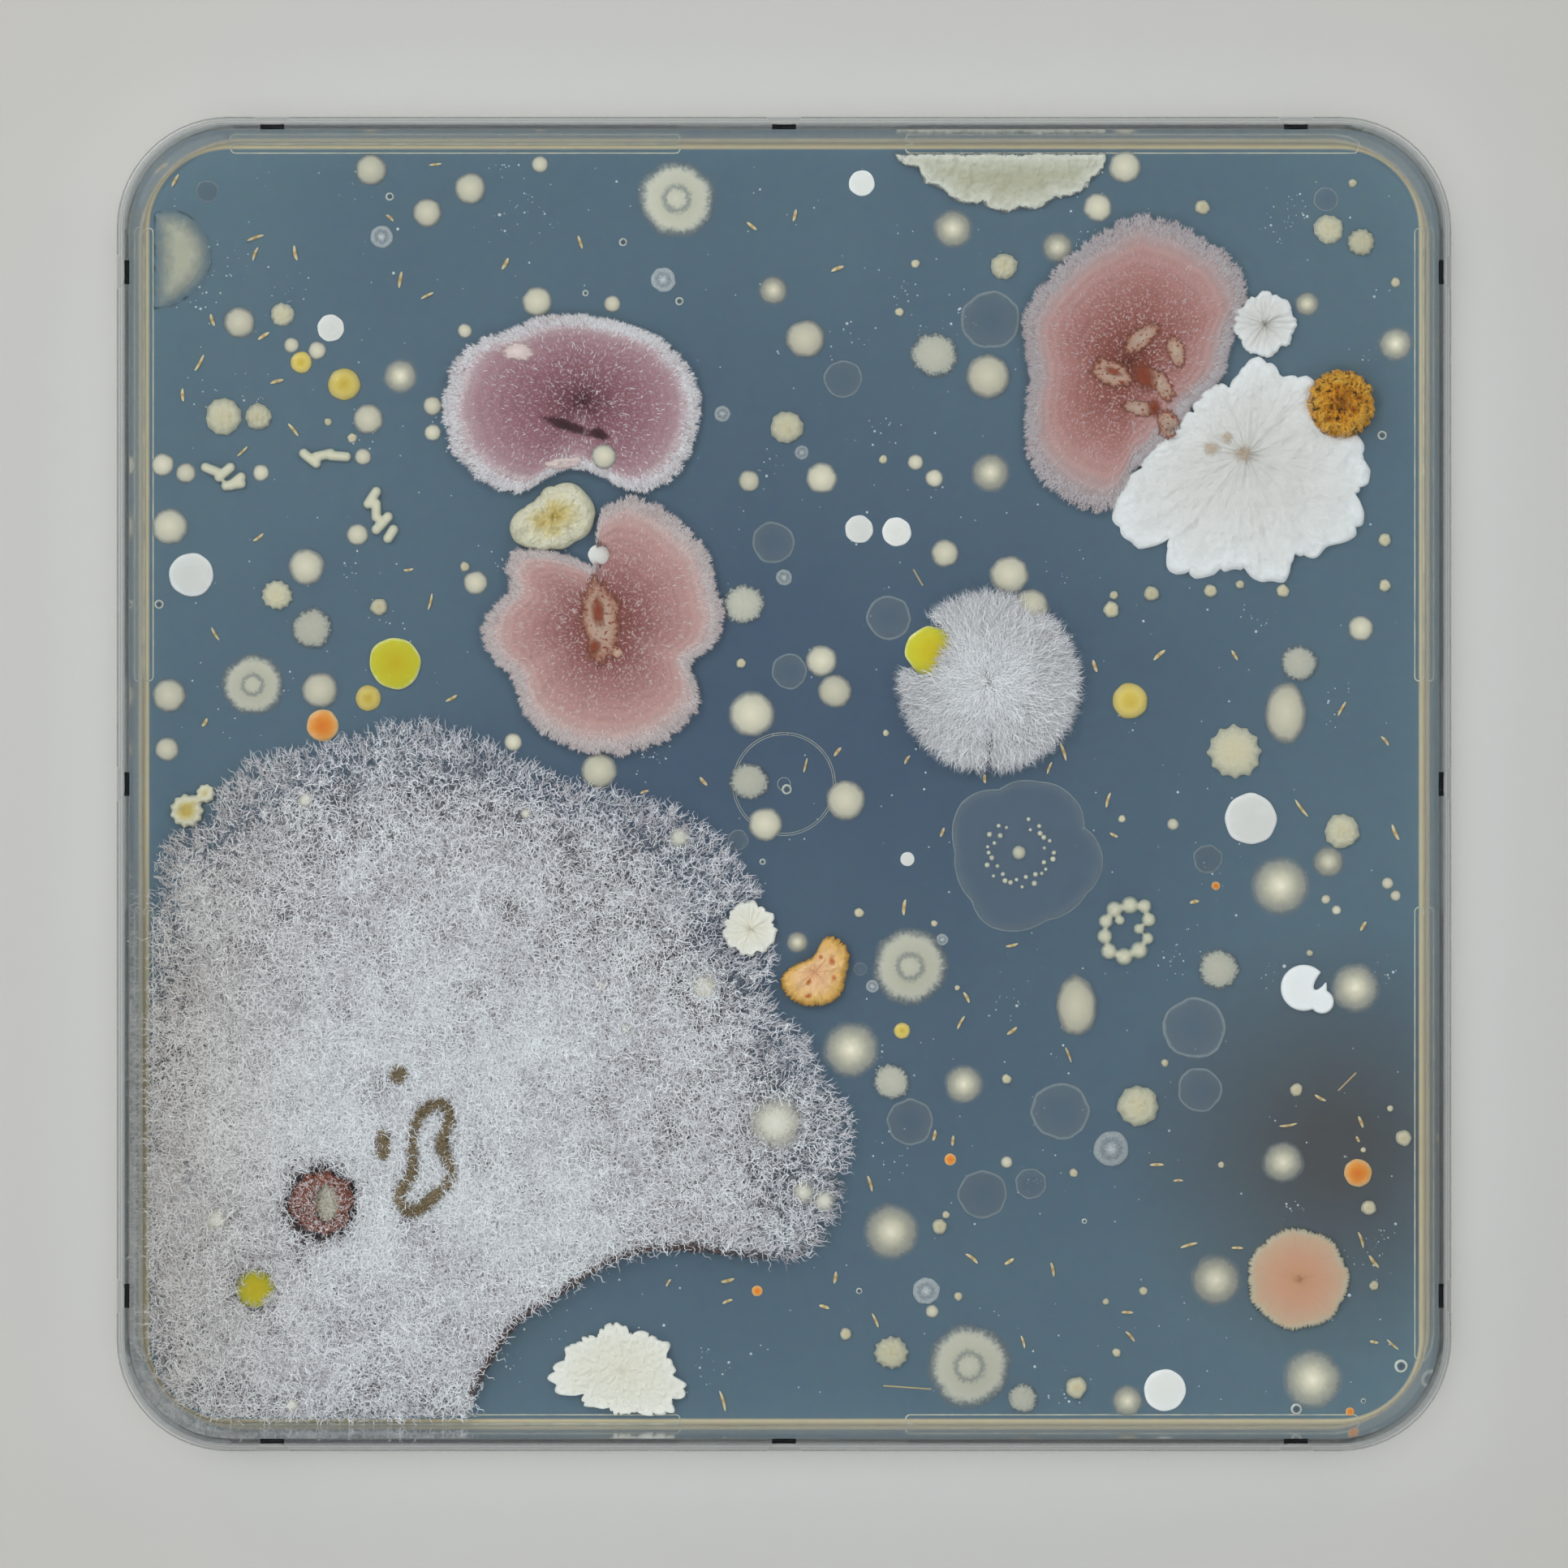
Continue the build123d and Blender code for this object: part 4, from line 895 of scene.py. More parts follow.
class DISH_OT_agar(bpy.types.Operator):
    """The agar bed's gel, with painted glints on it over the base's moulded rails and gate ring"""

    bl_idname = "dish.agar"
    bl_label = "Agar bed"

    def execute(self, context):
        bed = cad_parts["agar"]
        bed.material_slots[0].material = agar_gel(context.scene.dish_colours)
        # Painted highlights: thin pale ribbons laid just on the gel over the base's rails and gate ring stand
        # for light caught by those moulded edges
        glint = plain_grain("moulded_edge_glint", "#A9B0A6", "#D6CFB6", 3, 0.4, 0.0)
        for name, level in (("rail_glints", 0.0), ("gate_ring_glint", 0.5 * MM)):
            edge = merged_copy("dish_base", name)
            bpy.ops.object.mode_set(mode="EDIT")
            bpy.ops.mesh.select_mode(type="FACE")
            bpy.ops.mesh.select_all(action="DESELECT")
            bpy.ops.object.mode_set(mode="OBJECT")
            for face in edge.data.polygons:
                face.select = not (abs(face.center.z - level) < 0.05 * MM and face.normal.z < -0.9)
            bpy.ops.object.mode_set(mode="EDIT")
            bpy.ops.mesh.delete(type="FACE")
            bpy.ops.mesh.select_all(action="SELECT")
            bpy.ops.mesh.dissolve_limited(angle_limit=radians(1))
            bpy.ops.mesh.delete(type="ONLY_FACE")
            bpy.ops.object.mode_set(mode="OBJECT")
            bpy.ops.object.convert(target="CURVE")
            edge = bpy.context.object
            edge.data.bevel_depth = (0.05 if level else 0.13) * MM
            edge.data.bevel_resolution = 0
            bpy.ops.object.convert(target="MESH")
            edge = bpy.context.object
            points = points_of(edge.data)
            floor = np.array([
                bed.ray_cast((x, y, RIM_TOP), (0, 0, -1))[1][2] for x, y in points[:, :2]
            ])
            points[:, 2] = floor + 0.03 * MM + (points[:, 2] - level) * 0.2
            set_points(edge.data, points)
            settle(edge, glint, "agar_gel")
        return {"FINISHED"}


def upper_side(points, heart):
    """1 where a mat point lies up or right of its heart, 0 where it lies below."""
    turn = np.arctan2(points[:, 1] - heart[1], points[:, 0] - heart[0])
    return np.clip((turn + 0.35) / 0.5, 0, 1) * np.clip((2.9 - turn) / 0.5, 0, 1)


class DISH_OT_mat(bpy.types.Operator):
    """The white mould mat and its hair"""

    bl_idname = "dish.mat"
    bl_label = "White mould mat"

    def execute(self, context):
        sizes, colours = context.scene.dish_sizes, context.scene.dish_colours
        # Matted white mycelium: loose tangled threads, bright on the crests, with painted grey and
        # faintly brown shade in the hollows
        felt = felt_of(
            "matted_mycelium",
            [(0.15, "#4F484B"), (0.35, "#7D7373"), (0.5, "#A39A9B"), (0.66, "#CFCACC"), (0.9, "#F0EEF0")],
            0.55, 13, 0.5, thin=[(0.0, 1.0), (0.3, 0.62), (0.6, 0.34), (1.0, 0.06)], shadow_and_dark_tint="#6F5B55",
        )
        mat = pad(
            "mould_mat", "white_mould_mat", felt, "white_mould", 0.62, 5.0, 14.0,
            rough_mm=0.9, lump_mm=14, seed=3.0, fray=0.4, fray_mm=2.0,
        )
        heart = np.array(spot("brown_spore_tufts", 0.5, 0.5))
        bare = [
            points_of(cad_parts[node].data)
            for node in ("rust_crater_mould", "crater_heart", "brown_spore_tufts")
        ]
        points = points_of(mat.data)
        away = np.hypot(*(points[:, :2] - heart).T)
        edge = np.empty(len(points), dtype=np.float32)
        mat.data.attributes["rim"].data.foreach_get("value", edge)
        upper = upper_side(points, heart)
        # Painted shadow: along its free lower edge over the bare agar the mat turns a shadowed brown and is
        # thinly haired; round the crater the ground is darker and thinly haired too
        inside = np.max(np.abs(points[:, :2]), axis=1) < GEL_HALF - 5 * MM
        inside &= points[:, 0] > spot("white_mould_mat", 0.36, 0)[0]
        lower_edge_shadow = np.clip((edge - 0.86) / 0.06, 0, 1) * (1 - upper) * inside
        crater_low, crater_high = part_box("rust_crater_mould")
        crater_half = (crater_high[0] - crater_low[0]) / 2
        out = np.hypot(*(points[:, :2] - np.array(spot("rust_crater_mould", 0.5, 0.5))).T) - crater_half
        halo = 0.75 * np.exp(-((np.clip(out, 0, None) / (3.2 * MM)) ** 2))
        mat.data.attributes["tone"].data.foreach_set("value", np.maximum(lower_edge_shadow, halo).astype(np.float32))
        thin = np.clip((away - 36 * MM) / (50 * MM), 0, 1)
        mat.data.attributes["rim"].data.foreach_set(
            "value", np.clip(np.maximum(thin, edge * (0.35 + 0.65 * upper)), 0, 1).astype(np.float32),
        )
        dice = np.random.default_rng(11)
        roots, rim = crown_points(mat)
        bald = crown_points(mat, "tone")[1]
        light = hair_of("mycelium_hair", "#A09A9D", colours.hair, warm="#C3B29F")
        white = hair_of("white_mycelium_hair", "#D6D2D5", "#FFFFFF", warm="#DCCFC0")
        wool = np.array([spot("white_mould_mat", *shares) for shares in (
            (0.38, 0.51), (0.35, 0.43), (0.44, 0.33), (0.46, 0.43), (0.32, 0.29),
            (0.41, 0.27), (0.52, 0.53), (0.25, 0.45), (0.56, 0.29), (0.17, 0.43),
        )])
        near = np.min(np.hypot(*(roots[:, None, :2] - wool[None]).transpose(2, 0, 1)), axis=1)
        cosy = np.exp(-((near / (11 * MM)) ** 2))
        depth = 1 - np.clip((np.hypot(*(roots[:, :2] - heart).T) - 30 * MM) / (55 * MM), 0, 1)
        open_side = 1 - 0.8 * upper_side(roots, heart) * np.clip(rim - 0.35, 0, 1) / 0.65
        clear = kdtree.KDTree(sum(len(spot) for spot in bare))
        for index, point in enumerate(np.vstack(bare)):
            clear.insert((point[0], point[1], 0), index)
        clear.balance()
        free = np.array([clear.find((p[0], p[1], 0))[2] for p in roots]) > 0.7 * MM
        for index, (shade, count, lift, width, choose) in enumerate((
            (light, 30000, 0.4, 0.8, 0.14 + 0.8 * depth), (light, 28000, 0.8, 0.9, 0.08 + 0.8 * depth),
            (white, 30000, 1.1, 0.9, 0.1 + depth), (white, 34000, 1.5, 1.0, 0.02 + 2.2 * cosy + 0.2 * depth),
        )):
            patch = np.array([noise(Vector(p) * scale_of(6) + Vector((0, 0, index))) for p in roots])
            odds = np.clip(choose * (1 + 1.7 * patch), 0.01, None) * open_side * free * (1 - 0.85 * bald)
            spots = roots[dice.choice(len(roots), count, p=odds / odds.sum())]
            spots = spots + np.column_stack((
                dice.uniform(-0.4, 0.4, (count, 2)) * MM, np.full(count, 0.05 * MM),
            ))
            threads(
                "mat_hair_" + str(index), shade, "white_mould", spots, random_leans(dice, count),
                sizes.hair_length, sizes.hair_width * width, lift * MM, dice.uniform(0, 0.9, count),
                12 + index,
            )
        # The free edge: hairs that reach out over the bare agar
        outer = (rim > 0.7) & (np.max(np.abs(roots[:, :2]), axis=1) < GEL_HALF - EDGE_GAP)
        count = sizes.fringe_hairs
        chosen = dice.choice(np.flatnonzero(outer), count)
        ahead = roots[chosen, :2] - heart
        ahead /= np.hypot(ahead[:, 0], ahead[:, 1])[:, None]
        lean = np.column_stack((ahead, np.zeros(count))) + 0.6 * random_leans(dice, count)
        lean /= np.linalg.norm(lean, axis=1)[:, None]
        spots = roots[chosen] * (1, 1, 0) + (0, 0, AGAR_TOP + 0.3 * MM)
        threads(
            "mat_fringe", light, "white_mould", spots, lean, 2.2 * MM, sizes.hair_width, 0.8 * MM,
            dice.uniform(0, 0.9, count), 17,
        )
        return {"FINISHED"}


class DISH_OT_mat_marks(bpy.types.Operator):
    """The rust crater, the brown spore loop and the pads in the mat"""

    bl_idname = "dish.mat_marks"
    bl_label = "Marks in the mat"

    def execute(self, context):
        dice = np.random.default_rng(21)
        # Rust spore dust over dark felt, with white threads crossing it
        rust = felt_of(
            "rust_spore_felt",
            [(0.2, "#1E1118"), (0.4, "#5A1D16"), (0.55, "#93432F"), (0.72, "#C27E68"), (0.9, "#E6CDC2")],
            0.9, 2.6, 0.6,
        )
        tan = felt_of(
            "tan_spore_felt", [(0.2, "#8A7350"), (0.5, "#BBA781"), (0.85, "#E9E2D2")], 0.4, 2.5, 0.4,
        )
        brown = felt_of(
            "brown_spore_felt", [(0.2, "#4A3B26"), (0.5, "#7A6343"), (0.85, "#C9BBA3")], 0.4, 3.0, 0.4,
        )
        crater = spread_growth(
            "rust_crater", "rust_crater_mould", rust, "rust_mould", steps=240, rings=40, shoulder=0.3,
            edge=((3, 0.2), (10, 0.16)), folds=((7, 0.5),), lumps=0.8, lump_mm=1.4, rise=0.95, seed=5,
            wells=("crater_heart",),
        )
        heart = pad(
            "crater_heart_pad", "crater_heart", tan, "tan_mould", 0.3, 0.8, 2.0, rough_mm=0.3, seed=6.0,
        )
        loop = pad(
            "spore_loop", "brown_spore_tufts", brown, "brown_mould", 0.25, 0.5, 1.0, rough_mm=0.3, seed=7.0,
        )
        shades = (
            (crater, "rust_hair", "#3E1712", "#A9654F", 1300),
            (crater, "crater_veil", "#C9AFA8", "#F6F1F0", 700),
            (heart, "tan_hair", "#A08C66", "#EEE8DA", 800),
            (loop, "brown_hair", "#594628", "#94805C", 4200),
        )
        for piece, name, dark, light, count in shades:
            roots = crown_points(piece)[0]
            spots = roots[dice.integers(0, len(roots), count)]
            threads(
                name, hair_of(name + "_thread", dark, light), "white_mould", spots,
                random_leans(dice, count), 0.9 * MM, 0.11 * MM, 0.5 * MM,
                dice.uniform(0, 0.8, count), 22,
            )
        # Cream pads under a veil of hair
        veil = radial(
            "veiled_pad", [(0.0, "#E9E4D4"), (0.6, "#D2CBB8"), (1.0, "#B7B1A8")], grain_mm=0.5,
            grain=0.3, fade=[(0.35, 0.85), (0.95, 0.0)],
        )
        colonies("veiled_pads", "mat_pads", veil, "cream_growth", spread=1.2, wave=0.08, seed=23)
        return {"FINISHED"}


class DISH_OT_rosy(bpy.types.Operator):
    """The three rosy moulds"""

    bl_idname = "dish.rosy"
    bl_label = "Rosy moulds"

    def execute(self, context):
        dice = np.random.default_rng(33)
        # Short velvet of spores: dusty rose in fine growth rings round a darker worn heart,
        # ending in a pale fluffy rim
        shades = {
            "pink_mould_upper": [(0.0, "#5A3036"), (0.1, "#6E3E45"), (0.3, "#8F5C64"), (0.55, "#A0707A"),
                                 (0.78, "#B48C92"), (0.88, "#D3BEBF"), (0.94, "#ECE6E6"), (1.0, "#C9C4C6")],
            "pink_mould_lower": [(0.0, "#8B4A34"), (0.12, "#8A4E42"), (0.26, "#8E5450"), (0.5, "#AE7B77"),
                                 (0.76, "#C99A93"), (0.9, "#D6BCB5"), (0.96, "#DDD1CC"), (1.0, "#8F9498")],
            "pink_mould_right": [(0.0, "#7C3B28"), (0.15, "#86463A"), (0.35, "#9C5F57"), (0.58, "#B47C75"),
                                 (0.75, "#C4968F"), (0.86, "#BCA6A3"), (0.95, "#A9A2A3"), (1.0, "#858A92")],
        }
        hearts = {
            "pink_mould_upper": spot("pink_mould_upper", 0.547, 0.516),
            "pink_mould_lower": spot("pink_mould_lower", 0.508, 0.501),
            "pink_mould_right": spot("pink_mould_right", 0.482, 0.502),
        }
        for index, (node, stops) in enumerate(shades.items()):
            skin = radial(
                "rosy_velvet_" + node[11:], stops, grain_mm=0.35, grain=0.12, streak=0.05, spokes=3,
                bump_mm=0.35, rough=(0.8, 0.95), fade=[(0.95, 1.0), (1.06, 0.0)], bands=12, band_share=0.04,
                pits=(0.45, 0.56, ("#B79AA0", "#C9A39C", "#C49D96")[index]),
            )
            piece = spread_growth(
                node + "_velvet", node, skin, "rosy_mould", centre=hearts[node], shoulder=0.2,
                edge=((7, 0.04), (60, 0.03)), folds=((2.5, 0.5), (9, 0.2)), lumps=0.25, lump_mm=3.0,
                rise=0.95, grow=1.02, seed=30 + index, wells=("white_discs",),
            )
            roots, rim = crown_points(piece)
            count = 11000
            odds = rim * (0.012 + np.exp(-(((rim - 0.95) / 0.055) ** 2)))
            spots = roots[dice.choice(len(roots), count, p=odds / odds.sum())]
            out = spots[:, :2] - np.array(hearts[node])
            out /= np.hypot(out[:, 0], out[:, 1])[:, None]
            lean = np.column_stack((out, np.zeros(count))) + 0.5 * random_leans(dice, count)
            lean /= np.linalg.norm(lean, axis=1)[:, None]
            threads(
                node + "_fluff",
                hair_of("fluff_" + node[11:], "#B39A99", ("#FAF7F7", "#E6DAD6", "#D5CCCC")[index]),
                "rosy_mould", spots, lean, 0.8 * MM, 0.09 * MM, 0.3 * MM,
                dice.uniform(0, 0.9, count), 34 + index,
            )
        # Worn hearts: bare pale crusts with rusty edges
        bare = radial(
            "worn_heart", [(0.0, "#C3AA96"), (0.6, "#B7917C"), (0.85, "#8A4D38"), (1.0, "#6E3527")],
            grain_mm=0.6, grain=0.35, bump_mm=0.3, rough=(0.7, 0.9), fade=[(0.8, 1.0), (1.05, 0.0)],
            pits=(0.8, 0.58, "#8A3D26"),
        )
        rusty = radial(
            "rusty_spores", [(0.0, "#8A3D22"), (0.6, "#9A4B30"), (1.0, "#A9654A")], grain_mm=0.5, grain=0.3,
            bump_mm=0.4, rough=(0.8, 0.95), fade=[(0.3, 0.9), (1.0, 0.0)],
        )
        # Painted shade: dark maroon sheets laid along the grooves of the upper mould
        dark = radial(
            "groove_painted_shade", [(0.0, "#33181C"), (0.6, "#4A262A"), (1.0, "#6B3B42")], grain_mm=0.5, grain=0.3,
            bump_mm=0.4, rough=(0.8, 0.95), fade=[(0.5, 1.0), (1.0, 0.0)],
        )
        cream = radial(
            "mould_spill", [(0.0, "#E5D3CB"), (1.0, "#C9ADA8")], grain_mm=0.6, grain=0.3, bump_mm=0.1,
            fade=[(0.7, 1.0), (1.0, 0.0)],
        )
        upper, lower, right = shades
        spots = {
            bare: [
                (lower, 0.492, 0.518, 3.9, 8.8, 0.08), (lower, 0.565, 0.395, 1.2, 1.3, 0.0),
                (right, 0.396, 0.465, 4.6, 2.6, -0.4), (right, 0.532, 0.585, 2.0, 4.6, -0.9),
                (right, 0.618, 0.429, 1.9, 4.4, 0.7), (right, 0.655, 0.291, 2.3, 3.0, 0.2),
                (right, 0.519, 0.346, 3.4, 1.6, -0.2), (right, 0.692, 0.539, 1.8, 3.4, 0.3),
            ],
            rusty: [
                (lower, 0.483, 0.554, 1.5, 3.6, 0.1), (lower, 0.469, 0.418, 1.4, 1.8, 0.0),
                (right, 0.401, 0.471, 2.2, 0.9, -0.4), (right, 0.544, 0.456, 2.6, 3.8, 0.5),
                (right, 0.593, 0.346, 1.6, 2.2, 0.0),
            ],
            dark: [(upper, 0.483, 0.369, 5.2, 1.2, -0.32), (upper, 0.61, 0.319, 2.2, 1.2, -0.3)],
            cream: [(upper, 0.292, 0.796, 3.2, 1.9, -0.1), (upper, 0.472, 0.151, 4.0, 1.2, 0.1)],
        }
        for index, (skin, places) in enumerate(spots.items()):
            patches("heart_patches_" + str(index), skin, "rosy_mould", places, 36 + index)
        return {"FINISHED"}


class DISH_OT_large(bpy.types.Operator):
    """The large single colonies"""

    bl_idname = "dish.large"
    bl_label = "Large colonies"

    def execute(self, context):
        # Chalky white growth with a faint grain
        chalk = radial(
            "chalky_colony", [(0.0, "#D8D3CC"), (0.5, "#DEDAD4"), (0.85, "#E6E4E0"), (1.0, "#EFEEEC")],
            grain_mm=1.0, grain=0.25, streak=0.2, spokes=14, bump_mm=0.35, rough=(0.6, 0.8),
        )
        plaster = radial(
            "smooth_white", [(0.0, "#EFEDE9"), (1.0, "#F4F3F0")], grain_mm=2, grain=0.1, bump_mm=0.03,
            rough=(0.35, 0.45),
        )
        crust = radial(
            "dry_crust", [(0.0, "#E9E2CF"), (0.7, "#ECE6D6"), (1.0, "#F3EFE3")], grain_mm=0.7,
            grain=0.25, bump_mm=0.25, rough=(0.8, 0.95),
        )
        gold = radial(
            "wet_golden_folds", [(0.0, "#B9791A"), (0.4, "#E09A14"), (0.75, "#EBB23A"), (1.0, "#C98A1E")],
            grain_mm=1.4, grain=0.45, bump_mm=0.8, rough=(0.08, 0.2), coat=0.4, pits=(1.1, 0.56, "#6E4A12"),
        )
        cream = radial(
            "folded_cream", [(0.0, "#C7AC58"), (0.35, "#D3C38C"), (0.7, "#DDD6BC"), (1.0, "#C9C2A6")],
            grain_mm=2.4, grain=0.4, bump_mm=0.7, rough=(0.3, 0.45), soft=0.2,
        )
        salmon = radial(
            "waxy_salmon",
            [(0.0, "#CB946C"), (0.5, "#CC9A7C"), (0.85, "#C7A688"), (0.96, "#BDB198"), (1.0, "#A9A58F")],
            grain_mm=3.0, grain=0.1, streak=0.05, spokes=14, bump_mm=0.08, rough=(0.4, 0.5),
        )
        peach = radial(
            "wet_peach", [(0.0, "#F0B98A"), (0.5, "#EFC089"), (0.8, "#E6B35E"), (1.0, "#BF8A2E")],
            grain_mm=1.6, grain=0.25, bump_mm=0.3, rough=(0.12, 0.25), coat=0.4,
        )
        fan = radial(
            "fan_growth", [(0.0, "#B9B49A"), (0.6, "#C9C5B0"), (0.9, "#DAD7C8"), (1.0, "#9AA09B")],
            grain_mm=1.5, grain=0.3, streak=0.15, spokes=20, bump_mm=0.2, fade=[(0.9, 1.0), (1.05, 0.3)],
        )
        haze = radial(
            "wall_haze", [(0.0, "#B8B49C"), (0.6, "#AEB0A2"), (1.0, "#8FA0A4")], grain_mm=1.5, grain=0.25,
            fade=[(0.2, 0.9), (1.0, 0.0)], rough=(0.7, 0.85),
        )
        spread_growth("lobed_white", "white_lobed_colony", chalk, "white_growth",
                      centre=spot("white_lobed_colony", 0.512, 0.569), edge=((1.6, 0.17), (5, 0.05)),
                      folds=((4, 0.6), (14, 0.15)), shoulder=0.1,
                      lumps=0.5, lump_mm=4, rise=0.75, grow=1.02, seed=41)
        spread_growth("upper_lobe", "white_upper_lobe", chalk, "white_growth", steps=300, rings=40,
                      edge=((1.5, 0.16), (5, 0.05)), folds=((3, 0.8),), shoulder=0.15, rise=0.8, seed=42)
        pad("torn_disc", "white_bitten_disc", plaster, "white_growth", 0.15, 0.5, 3.0, rough_mm=0.05,
            seed=43.0)
        spread_growth("crust", "white_crust_colony", crust, "white_growth", edge=((1.6, 0.2), (5, 0.09)),
                      folds=((12, 0.08),), shoulder=0.05, lumps=0.25, lump_mm=1.2,
                      rise=0.8, grow=1.03, seed=44)
        spread_growth("golden_folds", "golden_wrinkled_colony", gold, "golden_growth", steps=300,
                      edge=((9, 0.12),), folds=((7, 0.6),), shoulder=0.25, lumps=1.6, lump_mm=1.8,
                      rise=0.7, seed=45)
        spread_growth("cream_folds", "cream_brain_colony", cream, "cream_growth", steps=300,
                      edge=((1.2, 0.1),), folds=((2, 0.7),), shoulder=0.25, lumps=0.9, lump_mm=2.6,
                      rise=0.9, seed=46)
        spread_growth("salmon_disc", "salmon_colony", salmon, "salmon_growth", edge=((50, 0.07), (8, 0.02)),
                      folds=((30, 0.08),), shoulder=0.1, swell=0.2, rise=0.9, seed=47)
        spread_growth("peach_lump", "peach_colony", peach, "peach_growth", steps=300, edge=((16, 0.08),),
                      folds=((3, 0.5),), shoulder=0.25, lumps=0.5, lump_mm=2.5, rise=0.9, seed=48)
        pad("wall_fan", "edge_fan_colony", fan, "cream_growth", 0.22, 1.2, 4.0, rough_mm=0.5,
            lump_mm=2.0, seed=49.0, fray=0.6, fray_mm=1.0)
        pad("wall_haze_bed", "edge_haze_colony", haze, "haze_growth", 0.25, 2.5, 5.0, rough_mm=0.2,
            seed=50.0, fray=0.8, fray_mm=1.2)
        pad("rosettes", "cream_rosettes", cream, "cream_growth", 0.2, 0.9, 2.0, rough_mm=0.4,
            lump_mm=1.2, seed=51.0)
        spread_growth("lobed_cream", "lobed_cream_colony", crust, "cream_growth", steps=300,
                      edge=((2, 0.16), (6, 0.05)), folds=((4, 0.4),), shoulder=0.1, rise=0.8, seed=52)
        warm = radial(
            "tan_stain", [(0.0, "#C3A88A"), (1.0, "#DCCDB8")], grain_mm=0.7, grain=0.3, bump_mm=0.1,
            rough=(0.6, 0.8), fade=[(0.2, 0.7), (1.0, 0.0)],
        )
        patches("tan_stains", warm, "white_growth", [
            ("white_lobed_colony", 0.376, 0.593, 2.0, 1.6, 0.0),
            ("white_lobed_colony", 0.502, 0.569, 2.2, 2.0, 0.3),
            ("white_lobed_colony", 0.439, 0.643, 1.4, 1.4, 0.0),
        ], 53)
        pit = radial(
            "peach_pit", [(0.0, "#B5501F"), (0.6, "#D98A45"), (1.0, "#EFC089")], grain_mm=0.6, grain=0.15,
            bump_mm=0.1, rough=(0.1, 0.2), fade=[(0.6, 1.0), (1.0, 0.0)],
        )
        patches("peach_pits", pit, "peach_growth", [
            ("peach_colony", 0.747, 0.648, 0.6, 0.9, 0.2), ("peach_colony", 0.778, 0.419, 0.5, 0.6, 0.0),
            ("peach_colony", 0.407, 0.16, 0.8, 0.5, 0.3), ("peach_colony", 0.415, 0.358, 0.5, 0.8, -0.4),
            ("peach_colony", 0.585, 0.709, 0.5, 0.5, 0.0),
        ], 54)
        return {"FINISHED"}


class DISH_OT_tuft(bpy.types.Operator):
    """The cotton tuft"""

    bl_idname = "dish.tuft"
    bl_label = "Cotton tuft"

    def execute(self, context):
        sizes = context.scene.dish_sizes
        felt = felt_of(
            "cotton_felt", [(0.1, "#5F606A"), (0.4, "#9A9698"), (0.65, "#CFCBCB"), (0.9, "#EDEBEC")],
            0.5, 6, 0.5, thin=[(0.0, 0.8), (0.35, 0.45), (0.75, 0.3), (1.0, 0.05)],
        )
        heart = np.array(spot("cotton_tuft", 0.5, 0.5))
        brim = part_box("cotton_tuft")[1][0] - heart[0] + 1.4 * MM
        tuft = spread_growth(
            "cotton_felt_tuft", "cotton_tuft", felt, "white_mould", centre=tuple(heart), shoulder=0.9,
            edge=((30, 0.05), (6, 0.04)), lumps=0.3, lump_mm=2, rise=0.55, grow=0.95, seed=61,
            wells=("yellow_green_colonies", "cream_discs"),
        )
        dice = np.random.default_rng(62)
        roots, rim = crown_points(tuft)
        light = hair_of("cotton_hair", "#9A9698", "#E9E6E6")
        white = hair_of("cotton_white_hair", "#C9C7C9", "#FBFAFA")
        for index, (shade, length, spread, lift) in enumerate((
            (light, 4.2, 0.28, 0.6), (light, 2.6, 0.5, 0.8), (white, 3.4, 0.4, 1.2),
        )):
            count = sizes.tuft_hairs
            odds = rim * np.array([0.35 + rim, 0.4 + 0 * rim, 3 * np.exp(-((rim / 0.35) ** 2)) + 0.2][index])
            notch = np.abs(np.arctan2(roots[:, 1] - heart[1], roots[:, 0] - heart[0]) + pi / 2) < 0.07
            odds[notch & (rim > 0.6)] = 0
            spots = roots[dice.choice(len(roots), count, p=odds / odds.sum())]
            out = spots[:, :2] - heart
            out /= np.maximum(np.hypot(out[:, 0], out[:, 1]), 1e-6)[:, None]
            lean = np.column_stack((out, np.zeros(count))) + spread * random_leans(dice, count)
            lean /= np.linalg.norm(lean, axis=1)[:, None]
            flat = np.hypot(*(spots[:, :2] - heart).T)
            room = np.clip((brim - flat) / (length * MM), 0.25, 1)
            threads(
                "tuft_hair_" + str(index), shade, "white_mould", spots, lean * room[:, None], length * MM,
                0.11 * MM, lift * MM, dice.uniform(0, 0.9, count), 63 + index,
            )
        return {"FINISHED"}


